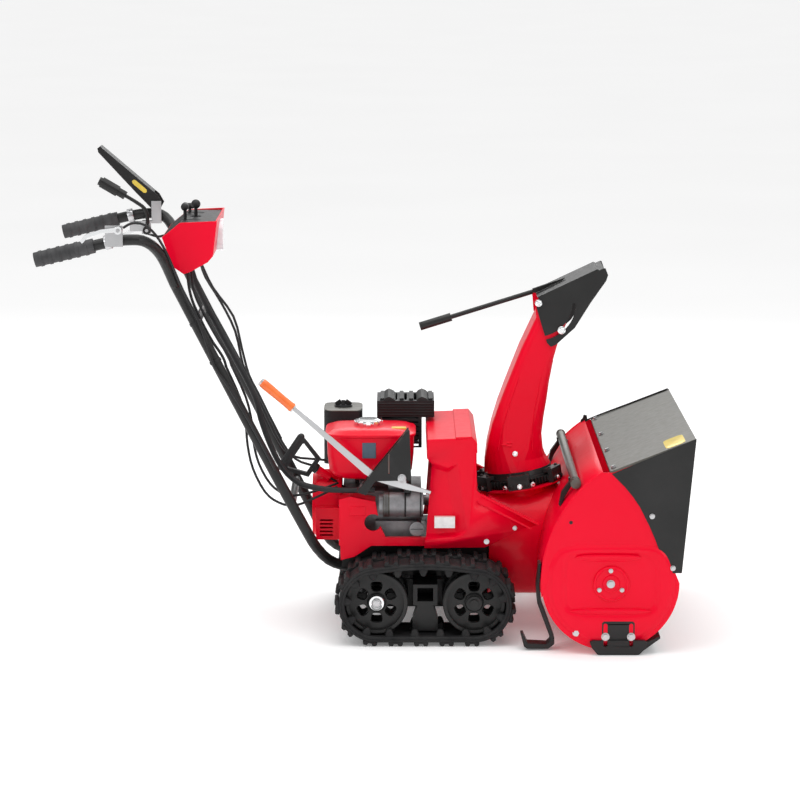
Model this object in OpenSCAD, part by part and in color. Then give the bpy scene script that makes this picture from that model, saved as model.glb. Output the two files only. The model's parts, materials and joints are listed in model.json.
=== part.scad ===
// Two stage snowblower on rubber tracks.
// +X is forward, towards the auger. +Y is the operator's left. +Z is up.
// The origin is on the ground, under the middle of the machine.

/* [Tracks] */
// Height of the drive axle, and the outer radius of a track over its treads
axle_z = 97; // [92:1:102]
// Distance between the drive axle and the idler axle
wheelbase = 227; // [215:1:235]
// Width of one track
track_w = 150; // [130:2:154]
// Inner face of each track, from the middle of the machine
track_in = 140; // [140:1:146]
// Treads round one track
treads = 17; // [14:1:18]

/* [Auger housing] */
// Half the clearing width, to the inner face of a side plate
housing_half = 357; // [320:1:357]
// Outer radius of the drum shaped lower part of the housing
drum_r = 158; // [156:1:160]
// Outer radius of the curved back wall above it
back_r = 310; // [306:1:314]
// Thickness of the housing's steel sheet
sheet = 3; // [2:0.5:3]
// Radius of the auger flights
auger_r = 145; // [120:1:147]

/* [Blower] */
// Outer radius of the blower drum
blower_r = 135; // [130:1:136]
// Radius of the impeller
impeller_r = 126; // [100:1:127]
// Blades on the impeller
impeller_blades = 4; // [3:1:6]

/* [Chute] */
// Radius of the chute's round base
chute_r = 80; // [76:1:80]
// Teeth on the chute's ring gear
ring_teeth = 60; // [60:1:60]
// Teeth on the chute's drive pinion
pinion_teeth = 12; // [12:1:12]
// Radius of the arc slot in the deflector's side plates
slot_r = 84; // [82:1:86]
// How far the chute's axis leans back from upright, in degrees
chute_tilt = 8.5; // [0:0.5:10]

/* [Handles] */
// Radius of the handle tubes
handle_r = 12.7; // [11:0.1:13]
// Radius of the hand grips
grip_r = 17; // [15:0.5:17.5]

/* [Hidden] */
$fn = 64;
fit = 0.04;                      // radial running clearance of a shaft in its bore

axle_x = 23;
idler_x = axle_x + wheelbase;
tread_h = 9;
belt_r = axle_z - tread_h;       // outer face of the belt round a wheel
belt_t = 14;
wheel_r = belt_r - belt_t - 1;
track_mid = track_in + track_w / 2;
axle_r = 12.5;

auger_x = 560;
auger_z = 166;
back_x = auger_x - drum_r + back_r;   // centre of the upper back wall's arc
lip_x = 556;                     // front edge of the housing's top
shaft_r = 12;
plate_out = housing_half + sheet;

impeller_z = 200;
blower_x0 = 288;
chute_x = 364;
neck_z = 334;                    // middle of the flange on top of the blower neck
worm_r = 10;
wheel_teeth = 20;

gear_module = 3;
ring_r = gear_module * ring_teeth / 2;
pinion_r = gear_module * pinion_teeth / 2;
pinion_a = 114;                  // direction of the pinion from the chute's axis
gear_z0 = 5;                     // the ring gear's teeth, above the neck flange
gear_z1 = 19;

hinge_x = 403;                   // the deflector's hinge axis
hinge_z = 776;
chute_half = 72;                 // half the chute's outer width at its top
slot_rest = -49.5;               // where the clamp bolt stands in the arc slot

crank_z = 290;
belt_x = 215;                    // plane of the blower belt
hst_x = 190;                     // plane of the transmission belt
hst_y = 70;
hst_z = 185;
crank_groove = 22;
impeller_groove = 45;
hst_groove = 32;

stick_x = 480;
stick_z = 392;
stick_lift = 75;                // the way the stick lifts out of its clips
lever_x = 82;                    // pivot of the side lever
lever_z = 381;
lever_y = -190;
clutch_x = -520;                 // pivot of the drive clutch lever
clutch_z = 971;
clutch_rest = 139.5;             // direction of that lever at rest
grip_y = 300;
height_x = -543;
height_z = 912;
height_y = 255;
steer_x = -560;
steer_z = 974;
pull_a = -56;                    // the recoil rope leans this far back from upright
rope = [-122, -50, 376];         // where its handle rests
handle_slope = atan2(14.5, 60);

red = "#d4001c";
black = "#1c1c1e";
steel = "#b9bcc0";
grey = "#77797c";

// ---------- shared shapes ----------
module box(x, y, z) translate([x[0], y[0], z[0]]) cube([x[1] - x[0], y[1] - y[0], z[1] - z[0]]);
module xcyl(r, x, y, z) translate([x[0], y, z]) rotate([0, 90, 0]) cylinder(h = x[1] - x[0], r = r);
module ycyl(r, x, y, z) translate([x, y[0], z]) rotate([-90, 0, 0]) cylinder(h = y[1] - y[0], r = r);
module zcyl(r, x, y, z) translate([x, y, z[0]]) cylinder(h = z[1] - z[0], r = r);
module side(points, y) translate([0, y[1], 0]) rotate([90, 0, 0]) linear_extrude(y[1] - y[0]) polygon(points);
module both() { children(); mirror([0, 1, 0]) children(); }

module tilted() translate([chute_x, 0, neck_z]) rotate([0, -chute_tilt, 0]) children();

// A curved sheet about a line along Y: a0 and a1 are directions in the XZ plane, 0 forwards, 90 up.
module arc_sheet(x, z, r, t, a0, a1, y)
    translate([x, y[1], z]) rotate([90, 0, 0]) rotate([0, 0, a0])
        rotate_extrude(angle = a1 - a0) translate([r - t, 0]) square([t, y[1] - y[0]]);

// A round rod from a to b.
module rod(a, b, r) {
    d = b - a;
    translate(a) rotate([0, acos(d[2] / norm(d)), atan2(d[1], d[0])]) cylinder(h = norm(d), r = r);
}

// Points of a smooth curve through p, with n steps between each two.
function mix4(a, b, c, d, t) = 0.5 * (2 * b + (c - a) * t + (2 * a - 5 * b + 4 * c - d) * t * t
    + (3 * b - a - 3 * c + d) * t * t * t);
function smooth(p, n) = concat([for (i = [0 : len(p) - 2], k = [0 : n - 1])
    mix4(p[max(i - 1, 0)], p[i], p[i + 1], p[min(i + 2, len(p) - 1)], k / n)], [p[len(p) - 1]]);
function unit(v) = v / norm(v);

// A round tube or cord swept along points that never run straight along Y.
module tube(p, r, sides = 12) {
    n = len(p);
    rings = [for (i = [0 : n - 1])
        let (t = unit(p[min(i + 1, n - 1)] - p[max(i - 1, 0)]), u = unit(cross(t, [0, 1, 0])), w = cross(t, u))
        for (k = [0 : sides - 1]) p[i] + r * (u * cos(360 * k / sides) + w * sin(360 * k / sides))];
    walls = [for (i = [0 : n - 2], k = [0 : sides - 1])
        let (a = i * sides + k, b = i * sides + (k + 1) % sides) [a, b, b + sides, a + sides]];
    caps = [[for (k = [sides - 1 : -1 : 0]) k], [for (k = [0 : sides - 1]) (n - 1) * sides + k]];
    polyhedron(points = rings, faces = [for (f = concat(walls, caps)) [for (k = [len(f) - 1 : -1 : 0]) f[k]]]);
}

// A flat spur gear: each tooth is a trapezium with involute-like flanks, thinned by the backlash.
module spur(teeth, hole, h, backlash = 0.5) {
    r = gear_module * teeth / 2;
    base = r * cos(20);
    function involute(rr) = let (a = acos(min(1, base / rr))) tan(a) * 180 / PI - a;
    function half(rr) = 90 / teeth - backlash / r * 90 / PI + involute(r) - involute(max(rr, base));
    root = r - 1.15 * gear_module;
    tip = r + 0.9 * gear_module;
    steps = [for (k = [0 : 4]) max(root, base) + (tip - max(root, base)) * k / 4];
    difference() {
        linear_extrude(h) polygon([for (i = [0 : teeth - 1]) let (a = 360 * i / teeth) each concat(
            [root * [cos(a - half(base) - 0.6), sin(a - half(base) - 0.6)]],
            [for (s = steps) s * [cos(a - half(s)), sin(a - half(s))]],
            [for (k = [4 : -1 : 0]) steps[k] * [cos(a + half(steps[k])), sin(a + half(steps[k]))]],
            [root * [cos(a + half(base) + 0.6), sin(a + half(base) + 0.6)]])]);
        translate([0, 0, -1]) cylinder(h = h + 2, r = hole);
    }
}

// A hexagon bolt head with its washer, standing on the plane z = 0.
module bolt_head(size = 8) {
    cylinder(h = 1.5, r = size * 1.05);
    translate([0, 0, 1.5]) cylinder(h = size * 0.6, r = size * 0.85, $fn = 6);
}

// ---------- tracks ----------
function bow(x) = let (s = (x - axle_x) / wheelbase) 10 * 4 * s * (1 - s);
function loop_point(s, r) = let (a = PI * belt_r, whole = 2 * wheelbase + 2 * a, q = s * whole)
    q < wheelbase ? [axle_x + q, axle_z - r, -90]
    : q < wheelbase + a ? let (t = -90 + 180 * (q - wheelbase) / a)
        [idler_x + r * cos(t), axle_z + r * sin(t), t]
    : q < 2 * wheelbase + a ? let (x = idler_x - (q - wheelbase - a)) [x, axle_z + r + bow(x), 90]
    : let (t = 90 + 180 * (q - 2 * wheelbase - a) / a) [axle_x + r * cos(t), axle_z + r * sin(t), t];

module belt_loop(r, y) {
    for (x = [axle_x, idler_x]) ycyl(r, x, y, axle_z);
    top = [for (k = [0 : 12]) let (x = axle_x + wheelbase * k / 12) [x, axle_z + r + bow(x)]];
    side(concat([[axle_x, axle_z - r], [idler_x, axle_z - r]], [for (k = [12 : -1 : 0]) top[k]]), y);
}

module track() color(black) {
    y = [track_in, track_in + track_w];
    difference() {
        belt_loop(belt_r, y);
        belt_loop(belt_r - belt_t, [y[0] - 1, y[1] + 1]);
    }
    for (i = [0 : treads - 1], half = [0, 1]) {
        p = loop_point((i + 0.25 + half / 2) / treads, belt_r);
        translate([p[0], track_in + 1 + half * track_w / 2, p[1]]) rotate([0, 90 - p[2], 0])
            translate([-10, 0, -1]) cube([20, track_w / 2 - 2, tread_h + 1]);
    }
    for (i = [0 : treads - 1]) {
        p = loop_point((i + 0.5) / treads, belt_r - belt_t);
        translate([p[0], track_mid, p[1]]) rotate([0, 90 - p[2], 0])
            translate([0, 7, -18]) rotate([90, 0, 0]) linear_extrude(14)
                polygon([[-9, 19], [9, 19], [4, 0], [-4, 0]]);
    }
}

module wheel(x, bore) {
    difference() {
        union() {
            for (y = [track_mid - 52, track_mid + 20]) {
                difference() {
                    ycyl(wheel_r, x, [y, y + 32], axle_z);
                    ycyl(wheel_r - 9, x, [y - 1, y + 33], axle_z);
                }
                ycyl(wheel_r - 8, x, [y + 12, y + 20], axle_z);
            }
            ycyl(50, x, [track_mid - 21, track_mid + 21], axle_z);
            ycyl(24, x, [track_mid - 52, track_mid + 50], axle_z);
        }
        for (k = [0 : 5]) rotate_about(x, axle_z, 60 * k + 90)
            translate([37, track_mid, 0]) rotate([-90, 0, 0])
                translate([0, 0, -80]) cylinder(h = 160, r = 11.5);
        ycyl(bore, x, [track_in - 10, track_in + track_w + 10], axle_z);
    }
}
module rotate_about(x, z, a) translate([x, 0, z]) rotate([0, -a, 0]) children();

module drive_wheel() {
    color(black) wheel(axle_x, axle_r - 0.02);
    color(steel) union() {
        ycyl(axle_r, axle_x, [84, track_mid + 52], axle_z);
        ycyl(19, axle_x, [track_mid + 50.2, track_mid + 54], axle_z);
        translate([axle_x, track_mid + 54, axle_z]) rotate([-90, 0, 0]) bolt_head(9);
    }
}
module idler_wheel() color(black) wheel(idler_x, 10 + fit);

module track_frame() color(black) {
    both() difference() {
        union() {
            side([[-12, 72], [-12, 116], [0, 126], [210, 126], [266, 116], [276, 106], [276, 86],
                [266, 76], [190, 60], [20, 60], [0, 60]], [127, 137]);
            box([108, 165], [136, track_mid + 26], [86, 136]);
            side([[118, 87], [155, 87], [166, 52], [166, 44], [107, 44], [107, 52]],
                [track_mid - 26, track_mid + 26]);
            for (s = [-1, 1]) box([107, 166], [track_mid + 18 * s - 8, track_mid + 18 * s + 8], [26, 45]);
            ycyl(10, idler_x, [136, track_mid + 60], axle_z);
            ycyl(17, idler_x, [track_mid + 50.5, track_mid + 55], axle_z);
            ycyl(22, idler_x, [136, 139.5], axle_z);
        }
        ycyl(axle_r + fit, axle_x, [120, 140], axle_z);
        box([118, 155], [150, track_mid + 30], [96, 128]);
    }
    ycyl(12, 180, [-128, 128], 84);
}

// ---------- chassis and drive ----------
module main_frame() color(black) {
    difference() {
        union() {
            both() side([[-60, 150], [-60, 206], [150, 206], [150, 235], [281, 235], [281, 128],
                [120, 128], [-20, 150]], [113, 118]);
            box([-60, 150], [-136, 136], [205, 211]);
            box([60, 100], [-114, 114], [150.2, 162]);
            box([-60, -54], [-114, 114], [169, 206]);
            box([281, 287.8], [-118, 118], [110, 262]);
        }
        xcyl(34, [270, 300], 0, impeller_z);
    }
}

module transmission() color(grey) {
    difference() {
        union() {
            box([-30, 95], [-78, 78], [66, 150]);
            box([100, 150], [35, 105], [118, 204.8]);
            box([90, 101], [35, 78], [90, 150]);
            both() ycyl(24, axle_x, [77, 122], axle_z);
            ycyl(52, 38, [-60, 60], 98);
            for (z = [82, 97, 112, 127]) box([-34, 96], [-70, 70], [z, z + 4]);
        }
        both() ycyl(axle_r + fit, axle_x, [82, 130], axle_z);
        xcyl(8 + fit, [140, 160], hst_y, hst_z);
    }
}

module v_pulley(x, groove, shaft) {
    difference() {
        union() {
            xcyl(groove, [x - 9, x + 9], 0, 0);
            for (s = [-1, 1]) translate([x + s * 9, 0, 0]) rotate([0, -s * 90, 0])
                cylinder(h = 5, r1 = groove + 10, r2 = groove);
            for (s = [-1, 1]) xcyl(groove + 10, [x + s * 9 - 1.5, x + s * 9 + 1.5], 0, 0);
        }
        xcyl(shaft, [x - 20, x + 20], 0, 0);
    }
}
module hst_pulley() color(steel) translate([0, hst_y, hst_z]) {
    v_pulley(hst_x, hst_groove, 7);
    xcyl(8, [142, hst_x + 14], 0, 0);
}
module crank_pulley() color(steel) translate([0, 0, crank_z]) {
    v_pulley(belt_x, crank_groove, 12);
    v_pulley(hst_x, crank_groove, 12);
    xcyl(12.5, [122, belt_x + 14], 0, 0);
}
// A belt round two pulleys: its middle line is an open belt with straight runs.
module belt_ring(x, p, q, r_p, r_q) {
    translate([x - 4, 0, 0]) rotate([90, 0, 90]) linear_extrude(8) difference() {
        hull() { translate(p) circle(r = r_p + 8.5, $fn = 48); translate(q) circle(r = r_q + 8.5, $fn = 48); }
        hull() { translate(p) circle(r = r_p + 0.8, $fn = 48); translate(q) circle(r = r_q + 0.8, $fn = 48); }
    }
}
module drive_belts() color("#2a2a2a") {
    belt_ring(belt_x, [0, crank_z], [0, impeller_z], crank_groove, impeller_groove);
    belt_ring(hst_x, [0, crank_z], [hst_y, hst_z], crank_groove, hst_groove);
}

// ---------- auger housing ----------
module housing_fill(y) {
    intersection() {
        ycyl(back_r, back_x, y, auger_z);
        box([300, lip_x], y, [auger_z, 480]);
    }
    ycyl(drum_r, auger_x, y, auger_z);
}
module auger_housing() color(red) {
    y = [-housing_half, housing_half];
    top_a = 180 - asin((424 - auger_z) / back_r);
    difference() {
        union() {
            arc_sheet(back_x, auger_z, back_r, sheet, top_a, 180, y);
            arc_sheet(auger_x, auger_z, drum_r, sheet, 180, 292, y);
        }
        xcyl(blower_r - sheet, [380, 480], 0, impeller_z);
    }
}
module plate_outline() {
    circle(r = drum_r - 0.02, $fn = 96);
    translate([back_x - auger_x, 0]) intersection() {
        circle(r = back_r - 0.02, $fn = 128);
        translate([-400, 0]) square([400 - (back_x - 560), 258]);
    }
    polygon([[0, 0], [158, 0], [146, 29], [130, 74], [108, 132], [85, 178], [52, 225], [8, 258], [-20, 258]]);
}
module side_plates() color(red) both() {
    difference() {
        union() {
            translate([auger_x, plate_out, auger_z]) rotate([90, 0, 0]) linear_extrude(sheet) plate_outline();
            ycyl(39, auger_x, [plate_out - 1, plate_out + 3], auger_z);
            ycyl(26, auger_x, [housing_half - 12, plate_out], auger_z);
            ycyl(20, auger_x, [plate_out, plate_out + 7], auger_z);
            for (z = [226, 88]) {
                box([482, 640], [plate_out - 1, plate_out + 2.5], [z, z + 10]);
                for (x = [482, 640]) ycyl(5, x, [plate_out - 1, plate_out + 2.5], z + 5);
            }
        }
        ycyl(shaft_r + fit, auger_x, [housing_half - 20, plate_out + 3], auger_z);
    }
}
module top_guard() color("#9a9c9e") difference() {
    side([[538, 418], [558, 427], [750, 502], [752, 499.6], [745, 490], [743.5, 494], [559, 422], [540, 413.5]],
        [-housing_half - 2.8, housing_half + 2.8]);
    housing_fill([-500, 500]);
    box([500, 556], [-housing_half - 4, housing_half + 4], [400, 424]);
    both() box([500, 572], [housing_half - 0.3, housing_half + 4], [400, 424.3]);
}
module side_guards() color(black) both()
    side([[560, 421], [752, 502.5], [723, 190], [699, 190], [690, 204], [672, 239], [660, 270], [648, 298],
        [625, 344], [608, 369], [590, 391]], [plate_out + 0.1, plate_out + 2.1]);
module scraper_blade() color(black)
    side([[608, 14], [618, 16], [676, 40], [676, 35], [640, 8], [600, 3], [586, 4]], [-housing_half + 1, housing_half - 1]);

module skid_shoes() color(black) {
    both() difference() {
        union() {
            side([[541, 30], [541, 74], [545, 78], [612, 78], [616, 74], [616, 30]], [plate_out + 0.2, plate_out + 6]);
            side([[513, 30], [520, 34], [638, 34], [645, 30], [640, 14], [628, 2], [624, 0], [534, 0], [530, 2],
                [518, 16]], [plate_out + 0.2, plate_out + 12]);
        }
        for (x = [549, 608]) {
            box([x - 4.5, x + 4.5], [plate_out - 1, plate_out + 20], [24, 68]);
            for (z = [24, 68]) ycyl(4.5, x, [plate_out - 1, plate_out + 20], z);
        }
    }
    both() side([[399, 150], [402, 205], [396, 205], [391, 150], [394, 110], [422, 34], [424, 22], [416, 14],
        [372, 16], [362, 38], [356, 37], [364, 8], [372, 3], [420, 3], [434, 14], [434, 30], [404, 112]],
        [285, 325]);
}

// ---------- blower, impeller and auger ----------
module blower_housing() color(red) difference() {
    union() {
        xcyl(blower_r, [blower_x0, 460], 0, impeller_z);
        tilted() translate([0, 0, -120]) cylinder(h = 120, r = 75);
        tilted() translate([0, 0, -4]) cylinder(h = 4, r = 103);
        xcyl(30, [268, blower_x0 + 4], 0, impeller_z);
    }
    xcyl(blower_r - sheet, [blower_x0 + sheet, 470], 0, impeller_z);
    tilted() translate([0, 0, -125]) cylinder(h = 130, r = 72);
    housing_fill([-200, 200]);
    tilted() cylinder(h = 40, r = 112);
    xcyl(worm_r + fit, [250, 300], 0, impeller_z);
}
module impeller() color("#8d1420") difference() {
    union() {
        xcyl(22, [300, 384], 0, impeller_z);
        xcyl(70, [300, 304], 0, impeller_z);
        for (k = [0 : impeller_blades - 1]) translate([0, 0, impeller_z]) rotate([360 * k / impeller_blades + 20, 0, 0]) {
            box([303, 380], [-2.5, 2.5], [18, impeller_r]);
            box([303, 308], [-2.5, 24], [30, impeller_r - 8]);
        }
    }
    xcyl(worm_r + 0.01, [290, 400], 0, impeller_z);
}
module impeller_shaft() color(steel) {
    xcyl(worm_r, [198, 592], 0, impeller_z);
    translate([0, 0, impeller_z]) v_pulley(belt_x, impeller_groove, worm_r - 0.5);
}
module auger_gearbox() color("#5b5d60") difference() {
    union() {
        ycyl(42, auger_x, [-33, 33], 174);
        ycyl(24, auger_x, [-38, 38], auger_z);
        xcyl(21, [478, 606], 0, impeller_z);
        xcyl(27, [500, 596], 0, impeller_z);
        for (a = [0 : 60 : 300]) both() translate([auger_x, 0, 174]) rotate([0, a + 30, 0])
            translate([34, 33, 0]) rotate([-90, 0, 0]) cylinder(h = 4, r = 5, $fn = 6);
    }
    ycyl(27, auger_x, [-15, 15], auger_z);
    ycyl(shaft_r + fit, auger_x, [-50, 50], auger_z);
    xcyl(worm_r + fit, [470, 598], 0, impeller_z);
}
module auger_shaft() color(steel) {
    ycyl(shaft_r, auger_x, [-housing_half - 4, housing_half + 4], auger_z);
    difference() {
        translate([auger_x, 12, auger_z]) rotate([90, 0, 0]) linear_extrude(24) polygon([for (i = [0 : wheel_teeth - 1])
            let (a = 360 * i / wheel_teeth) each [21 * [cos(a - 6), sin(a - 6)], 23.7 * [cos(a - 3), sin(a - 3)],
                23.7 * [cos(a + 3), sin(a + 3)], 21 * [cos(a + 6), sin(a + 6)]]]);
        ycyl(shaft_r - 0.5, auger_x, [-20, 20], auger_z);
    }
}
// One helical ribbon about the auger's axis.
module flight(start, y0, y1, turn) {
    n = 22;
    rings = [for (i = [0 : n]) let (a = start + turn * i / n, y = y0 + (y1 - y0) * i / n)
        for (q = [[92, -2.5], [auger_r, -2.5], [auger_r, 2.5], [92, 2.5]])
            [auger_x + q[0] * cos(a), y + q[1], auger_z + q[0] * sin(a)]];
    walls = [for (i = [0 : n - 1], k = [0 : 3]) let (a = 4 * i + k, b = 4 * i + (k + 1) % 4) each
        [[a, a + 4, b + 4], [a, b + 4, b]]];
    polyhedron(points = rings, faces = concat(walls, [[0, 1, 2, 3], [for (k = [3 : -1 : 0]) 4 * n + k]]));
}
module auger_flights() color(red) both() {
    for (start = [20, 200]) {
        flight(start, 56, 340, 300);
        for (s = [0.1, 0.9]) translate([auger_x, 56 + 284 * s, auger_z]) rotate([0, -(start + 300 * s), 0])
            translate([14, -3, -14]) cube([82, 6, 28]);
    }
    difference() {
        ycyl(18, auger_x, [42, 342], auger_z);
        ycyl(shaft_r + 0.01, auger_x, [40, 344], auger_z);
    }
}

// ---------- chute ----------
// Each section of the chute: middle x and z, lean in degrees, half depth, half width, corner radius.
chute_sections = [[358.4, 371.6, -chute_tilt, chute_r, chute_r, chute_r], [352, 398, -5, 72.5, 77.5, 66],
    [351.5, 428, 4, 66.5, 75.5, 46], [355, 470, 10, 60, 74, 34], [364.5, 515, 13, 55.5, 73, 26],
    [376, 558, 15, 51, 72, 22], [387.5, 602, 18, 45.5, 72, 20], [401, 648, 21, 41, 72, 18],
    [418, 694, 23, 37, 72, 18], [439, 741, 25, 36, 72, 18]];
chute_sides = 32;
// A point k of a rounded rectangle of half sizes a and b with corner radius c.
function round_rect(k, a, b, c) = let (q = floor(k / 8), t = (k % 8) / 7 * 90 + q * 90,
    sx = (q == 0 || q == 3) ? 1 : -1, sy = q < 2 ? 1 : -1) [sx * (a - c) + c * cos(t), sy * (b - c) + c * sin(t)];
module chute_loft(inset, low, high) {
    s = chute_sections;
    n = len(s);
    rings = [for (i = [0 : n - 1]) let (e = i == 0 ? low : i == n - 1 ? high : 0)
        for (k = [0 : chute_sides - 1])
            let (p = round_rect(k, s[i][3] - inset, s[i][4] - inset, max(4, s[i][5] - inset)), l = s[i][2])
            [s[i][0] + p[0] * cos(l) + e * sin(l), p[1], s[i][1] - p[0] * sin(l) + e * cos(l)]];
    m = chute_sides;
    walls = [for (i = [0 : n - 2], k = [0 : m - 1]) let (a = i * m + k, b = i * m + (k + 1) % m) each
        [[a, a + m, b], [b, a + m, b + m]]];
    polyhedron(points = rings, faces = concat(walls, [[for (k = [0 : m - 1]) k],
        [for (k = [m - 1 : -1 : 0]) (n - 1) * m + k]]));
}
module chute() color(red) {
    difference() {
        chute_loft(0, 0, 0);
        chute_loft(2.5, -3, 60);
        side([[426, 640], [700, 560], [700, 900], [462, 780], [440, 700]], [-62, 62]);
    }
}
module chute_ring() color(black) tilted() {
    translate([0, 0, gear_z0]) spur(ring_teeth, 79.5, gear_z1 - gear_z0);
    difference() {
        union() {
            cylinder(h = 37.5, r = 80.5);
            translate([0, 0, gear_z1 - 1]) cylinder(h = 6, r = 85);
        }
        translate([0, 0, -1]) cylinder(h = 50, r = 72);
    }
    translate([0, 0, 0.5]) difference() {
        cylinder(h = 4.6, r = 84);
        translate([0, 0, -1]) cylinder(h = 9, r = 72);
    }
}
// Each retainer: its direction round the chute and half its width.
retainers = [[-150, 22], [-92, 26], [-28, 26], [60, 26], [150, 22]];
module retainer(half) {
    difference() {
        box([80, 103], [-half, half], [0.2, 34]);
        zcyl(95, 0, 0, [-1, 25.2]);
        zcyl(83.5, 0, 0, [20, 40]);
    }
    for (y = [8 - half, half - 8]) translate([102.9, y, 9]) rotate([0, 90, 0]) bolt_head(4.5);
    for (y = [8 - half, half - 8]) translate([93, y, 34]) bolt_head(4.5);
}
module chute_retainers() color(black) difference() {
    tilted() for (q = retainers) rotate([0, 0, q[0]]) retainer(q[1]);
    housing_fill([-200, 200]);
}
module chute_pinion() color(steel) tilted() rotate([0, 0, pinion_a]) {
    translate([ring_r + pinion_r, 0, gear_z0]) rotate([0, 0, 180 + 180 / pinion_teeth])
        spur(pinion_teeth, 4.5, gear_z1 - gear_z0);
    zcyl(5, ring_r + pinion_r, 0, [3, 32]);
}
module chute_motor() color(black) tilted() rotate([0, 0, pinion_a]) difference() {
    union() {
        zcyl(20, ring_r + pinion_r, 0, [28, 68]);
        zcyl(12, ring_r + pinion_r, 0, [68, 76]);
        box([88, 132], [-30, 30], [25.5, 28.5]);
        for (s = [-1, 1]) box([97, 103], [27 * s - 3, 27 * s + 3], [0.2, 28]);
    }
    zcyl(5 + fit, ring_r + pinion_r, 0, [20, 34]);
}
// The deflector's side outline, and its arc slot about the hinge.
module deflector() color(black) {
    for (s = [-1, 1]) difference() {
        side([[399, 764], [407, 736], [424, 681], [433, 672], [445, 677], [489, 717], [526, 777], [562, 829],
            [566, 842], [560, 858], [556, 858.5], [404, 787], [397, 780]],
            s > 0 ? [chute_half + 2, chute_half + 4.5] : [-chute_half - 4.5, -chute_half - 2]);
        arc_sheet(hinge_x, hinge_z, slot_r + 4.5, 9, -78, -3, [-90, 90]);
        for (a = [-78, -3]) ycyl(4.5, hinge_x + slot_r * cos(a), [-90, 90], hinge_z + slot_r * sin(a));
        ycyl(4.08, hinge_x, [-90, 90], hinge_z);
    }
    side([[404, 787], [556, 858.5], [558, 855.5], [408, 784.8]], [-chute_half - 2, chute_half + 2]);
    side([[404, 787], [400, 790], [540, 856], [546, 853.5]], [-chute_half - 4.5, chute_half + 4.5]);
}
module deflector_lever() color(black) {
    side([[397, 790.5], [403, 792.6], [462, 820.4], [470, 828], [392, 801], [390, 792]], [-4, 4]);
    rod([392, 0, 793.4], [190, 0, 730.3], 5.5);
    rod([199, 0, 733.1], [125, 0, 710], 10);
}

// ---------- engine ----------
module crankcase() color("#4b4d50") {
    difference() {
        union() {
            box([-58, 128], [-95, 95], [211.2, 330]);
            box([20, 118], [-118, -60], [215, 262]);
            translate([30, 20, 322]) rotate([-25, 0, 0]) {
                box([-50, 50], [-48, 48], [-40, 40]);
                for (z = [0, 12, 24, 36]) box([-60, 60], [-58, 58], [z, z + 4]);
            }
        }
        xcyl(12.5 + fit, [100, 140], 0, crank_z);
        box([-100, 160], [-200, 200], [362, 500]);
        translate(rope) rotate([0, pull_a, 0]) translate([0, 0, -295]) cylinder(h = 300, r = 4);
    }
}
module fan_cover() color(red) difference() {
    union() {
        xcyl(84, [-122, -61], 0, crank_z - 10);
        box([-122, -61], [-98, 98], [213, 290]);
        xcyl(74, [-131, -121], 0, crank_z - 10);
        translate(rope) rotate([0, pull_a, 0]) translate([0, 0, -40]) cylinder(h = 35, r = 10);
    }
    xcyl(79, [-118, -60], 0, crank_z - 10);
    box([-118, -60], [-94, 94], [216, 286]);
    for (k = [0 : 15]) translate([0, 0, crank_z - 10]) rotate([22.5 * k, 0, 0]) box([-140, -110], [-3.5, 3.5], [36, 66]);
    for (k = [0 : 4]) box([-112, -82], [-110, -80], [222 + 9 * k, 226 + 9 * k]);
    translate(rope) rotate([0, pull_a, 0]) translate([0, 0, -80]) cylinder(h = 120, r = 4);
}
module engine_shroud() color(red) difference() {
    union() {
        side([[-62, 178], [-66, 322], [-40, 330], [20, 318], [30, 262], [44, 232], [150, 232], [150, 212.5],
            [10, 212.5], [-30, 186]], [-166, -151]);
        box([-66, -58], [-160, -99], [212, 322]);
        box([-40, -4], [-168, -160], [285, 306]);
        side([[-66, 322], [-40, 330], [20, 318], [18, 314], [-40, 325], [-62, 318]], [-160, -99]);
    }
    side([[-58, 190], [-58, 314], [-40, 321], [16, 311], [26, 258], [40, 226], [140, 226], [140, 216], [8, 216],
        [-30, 192]], [-160, -140]);
    ycyl(20, 14, [-200, -120], 268);
}
module fuel_tank() color(red) difference() {
    hull() {
        for (x = [-66, 82], y = [-118, 2]) zcyl(30, x, y, [385, 452]);
        for (x = [-58, 70], y = [-110, -6]) zcyl(26, x, y, [364, 476]);
        for (x = [-50, 60], y = [-100, -16]) zcyl(22, x, y, [364, 482]);
    }
    zcyl(22, 3, -58, [460, 520]);
    hull() for (x = [-50, 66], y = [-100, -16]) zcyl(22, x, y, [372, 468]);
}
module fuel_cap() color(steel) {
    translate([3, -58, 482.5]) {
        for (k = [0 : 11]) rotate([0, 0, 30 * k]) translate([29, -5, 0]) cube([5, 10, 12]);
        cylinder(h = 12, r = 31);
        translate([0, 0, 12]) cylinder(h = 4, r1 = 31, r2 = 22);
        translate([0, 0, -14]) cylinder(h = 15, r = 21.94);
    }
}
module air_cleaner() color(black) {
    hull() for (x = [-92, -28], y = [78, 172]) zcyl(14, x, y, [366, 478]);
    color(grey) hull() for (x = [-92, -28], y = [78, 172]) zcyl(14, x, y, [478.2, 494]);
    zcyl(22, -60, 125, [494.2, 500]);
    zcyl(5, -60, 125, [500, 512]);
    for (s = [-1, 1]) translate([-60, 125, 506]) rotate([0, s * 35, 0]) box([s > 0 ? 2 : -18, s > 0 ? 18 : -2], [-2, 2], [0, 12]);
    box([-20, 30], [100, 140], [376, 404]);
}
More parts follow.
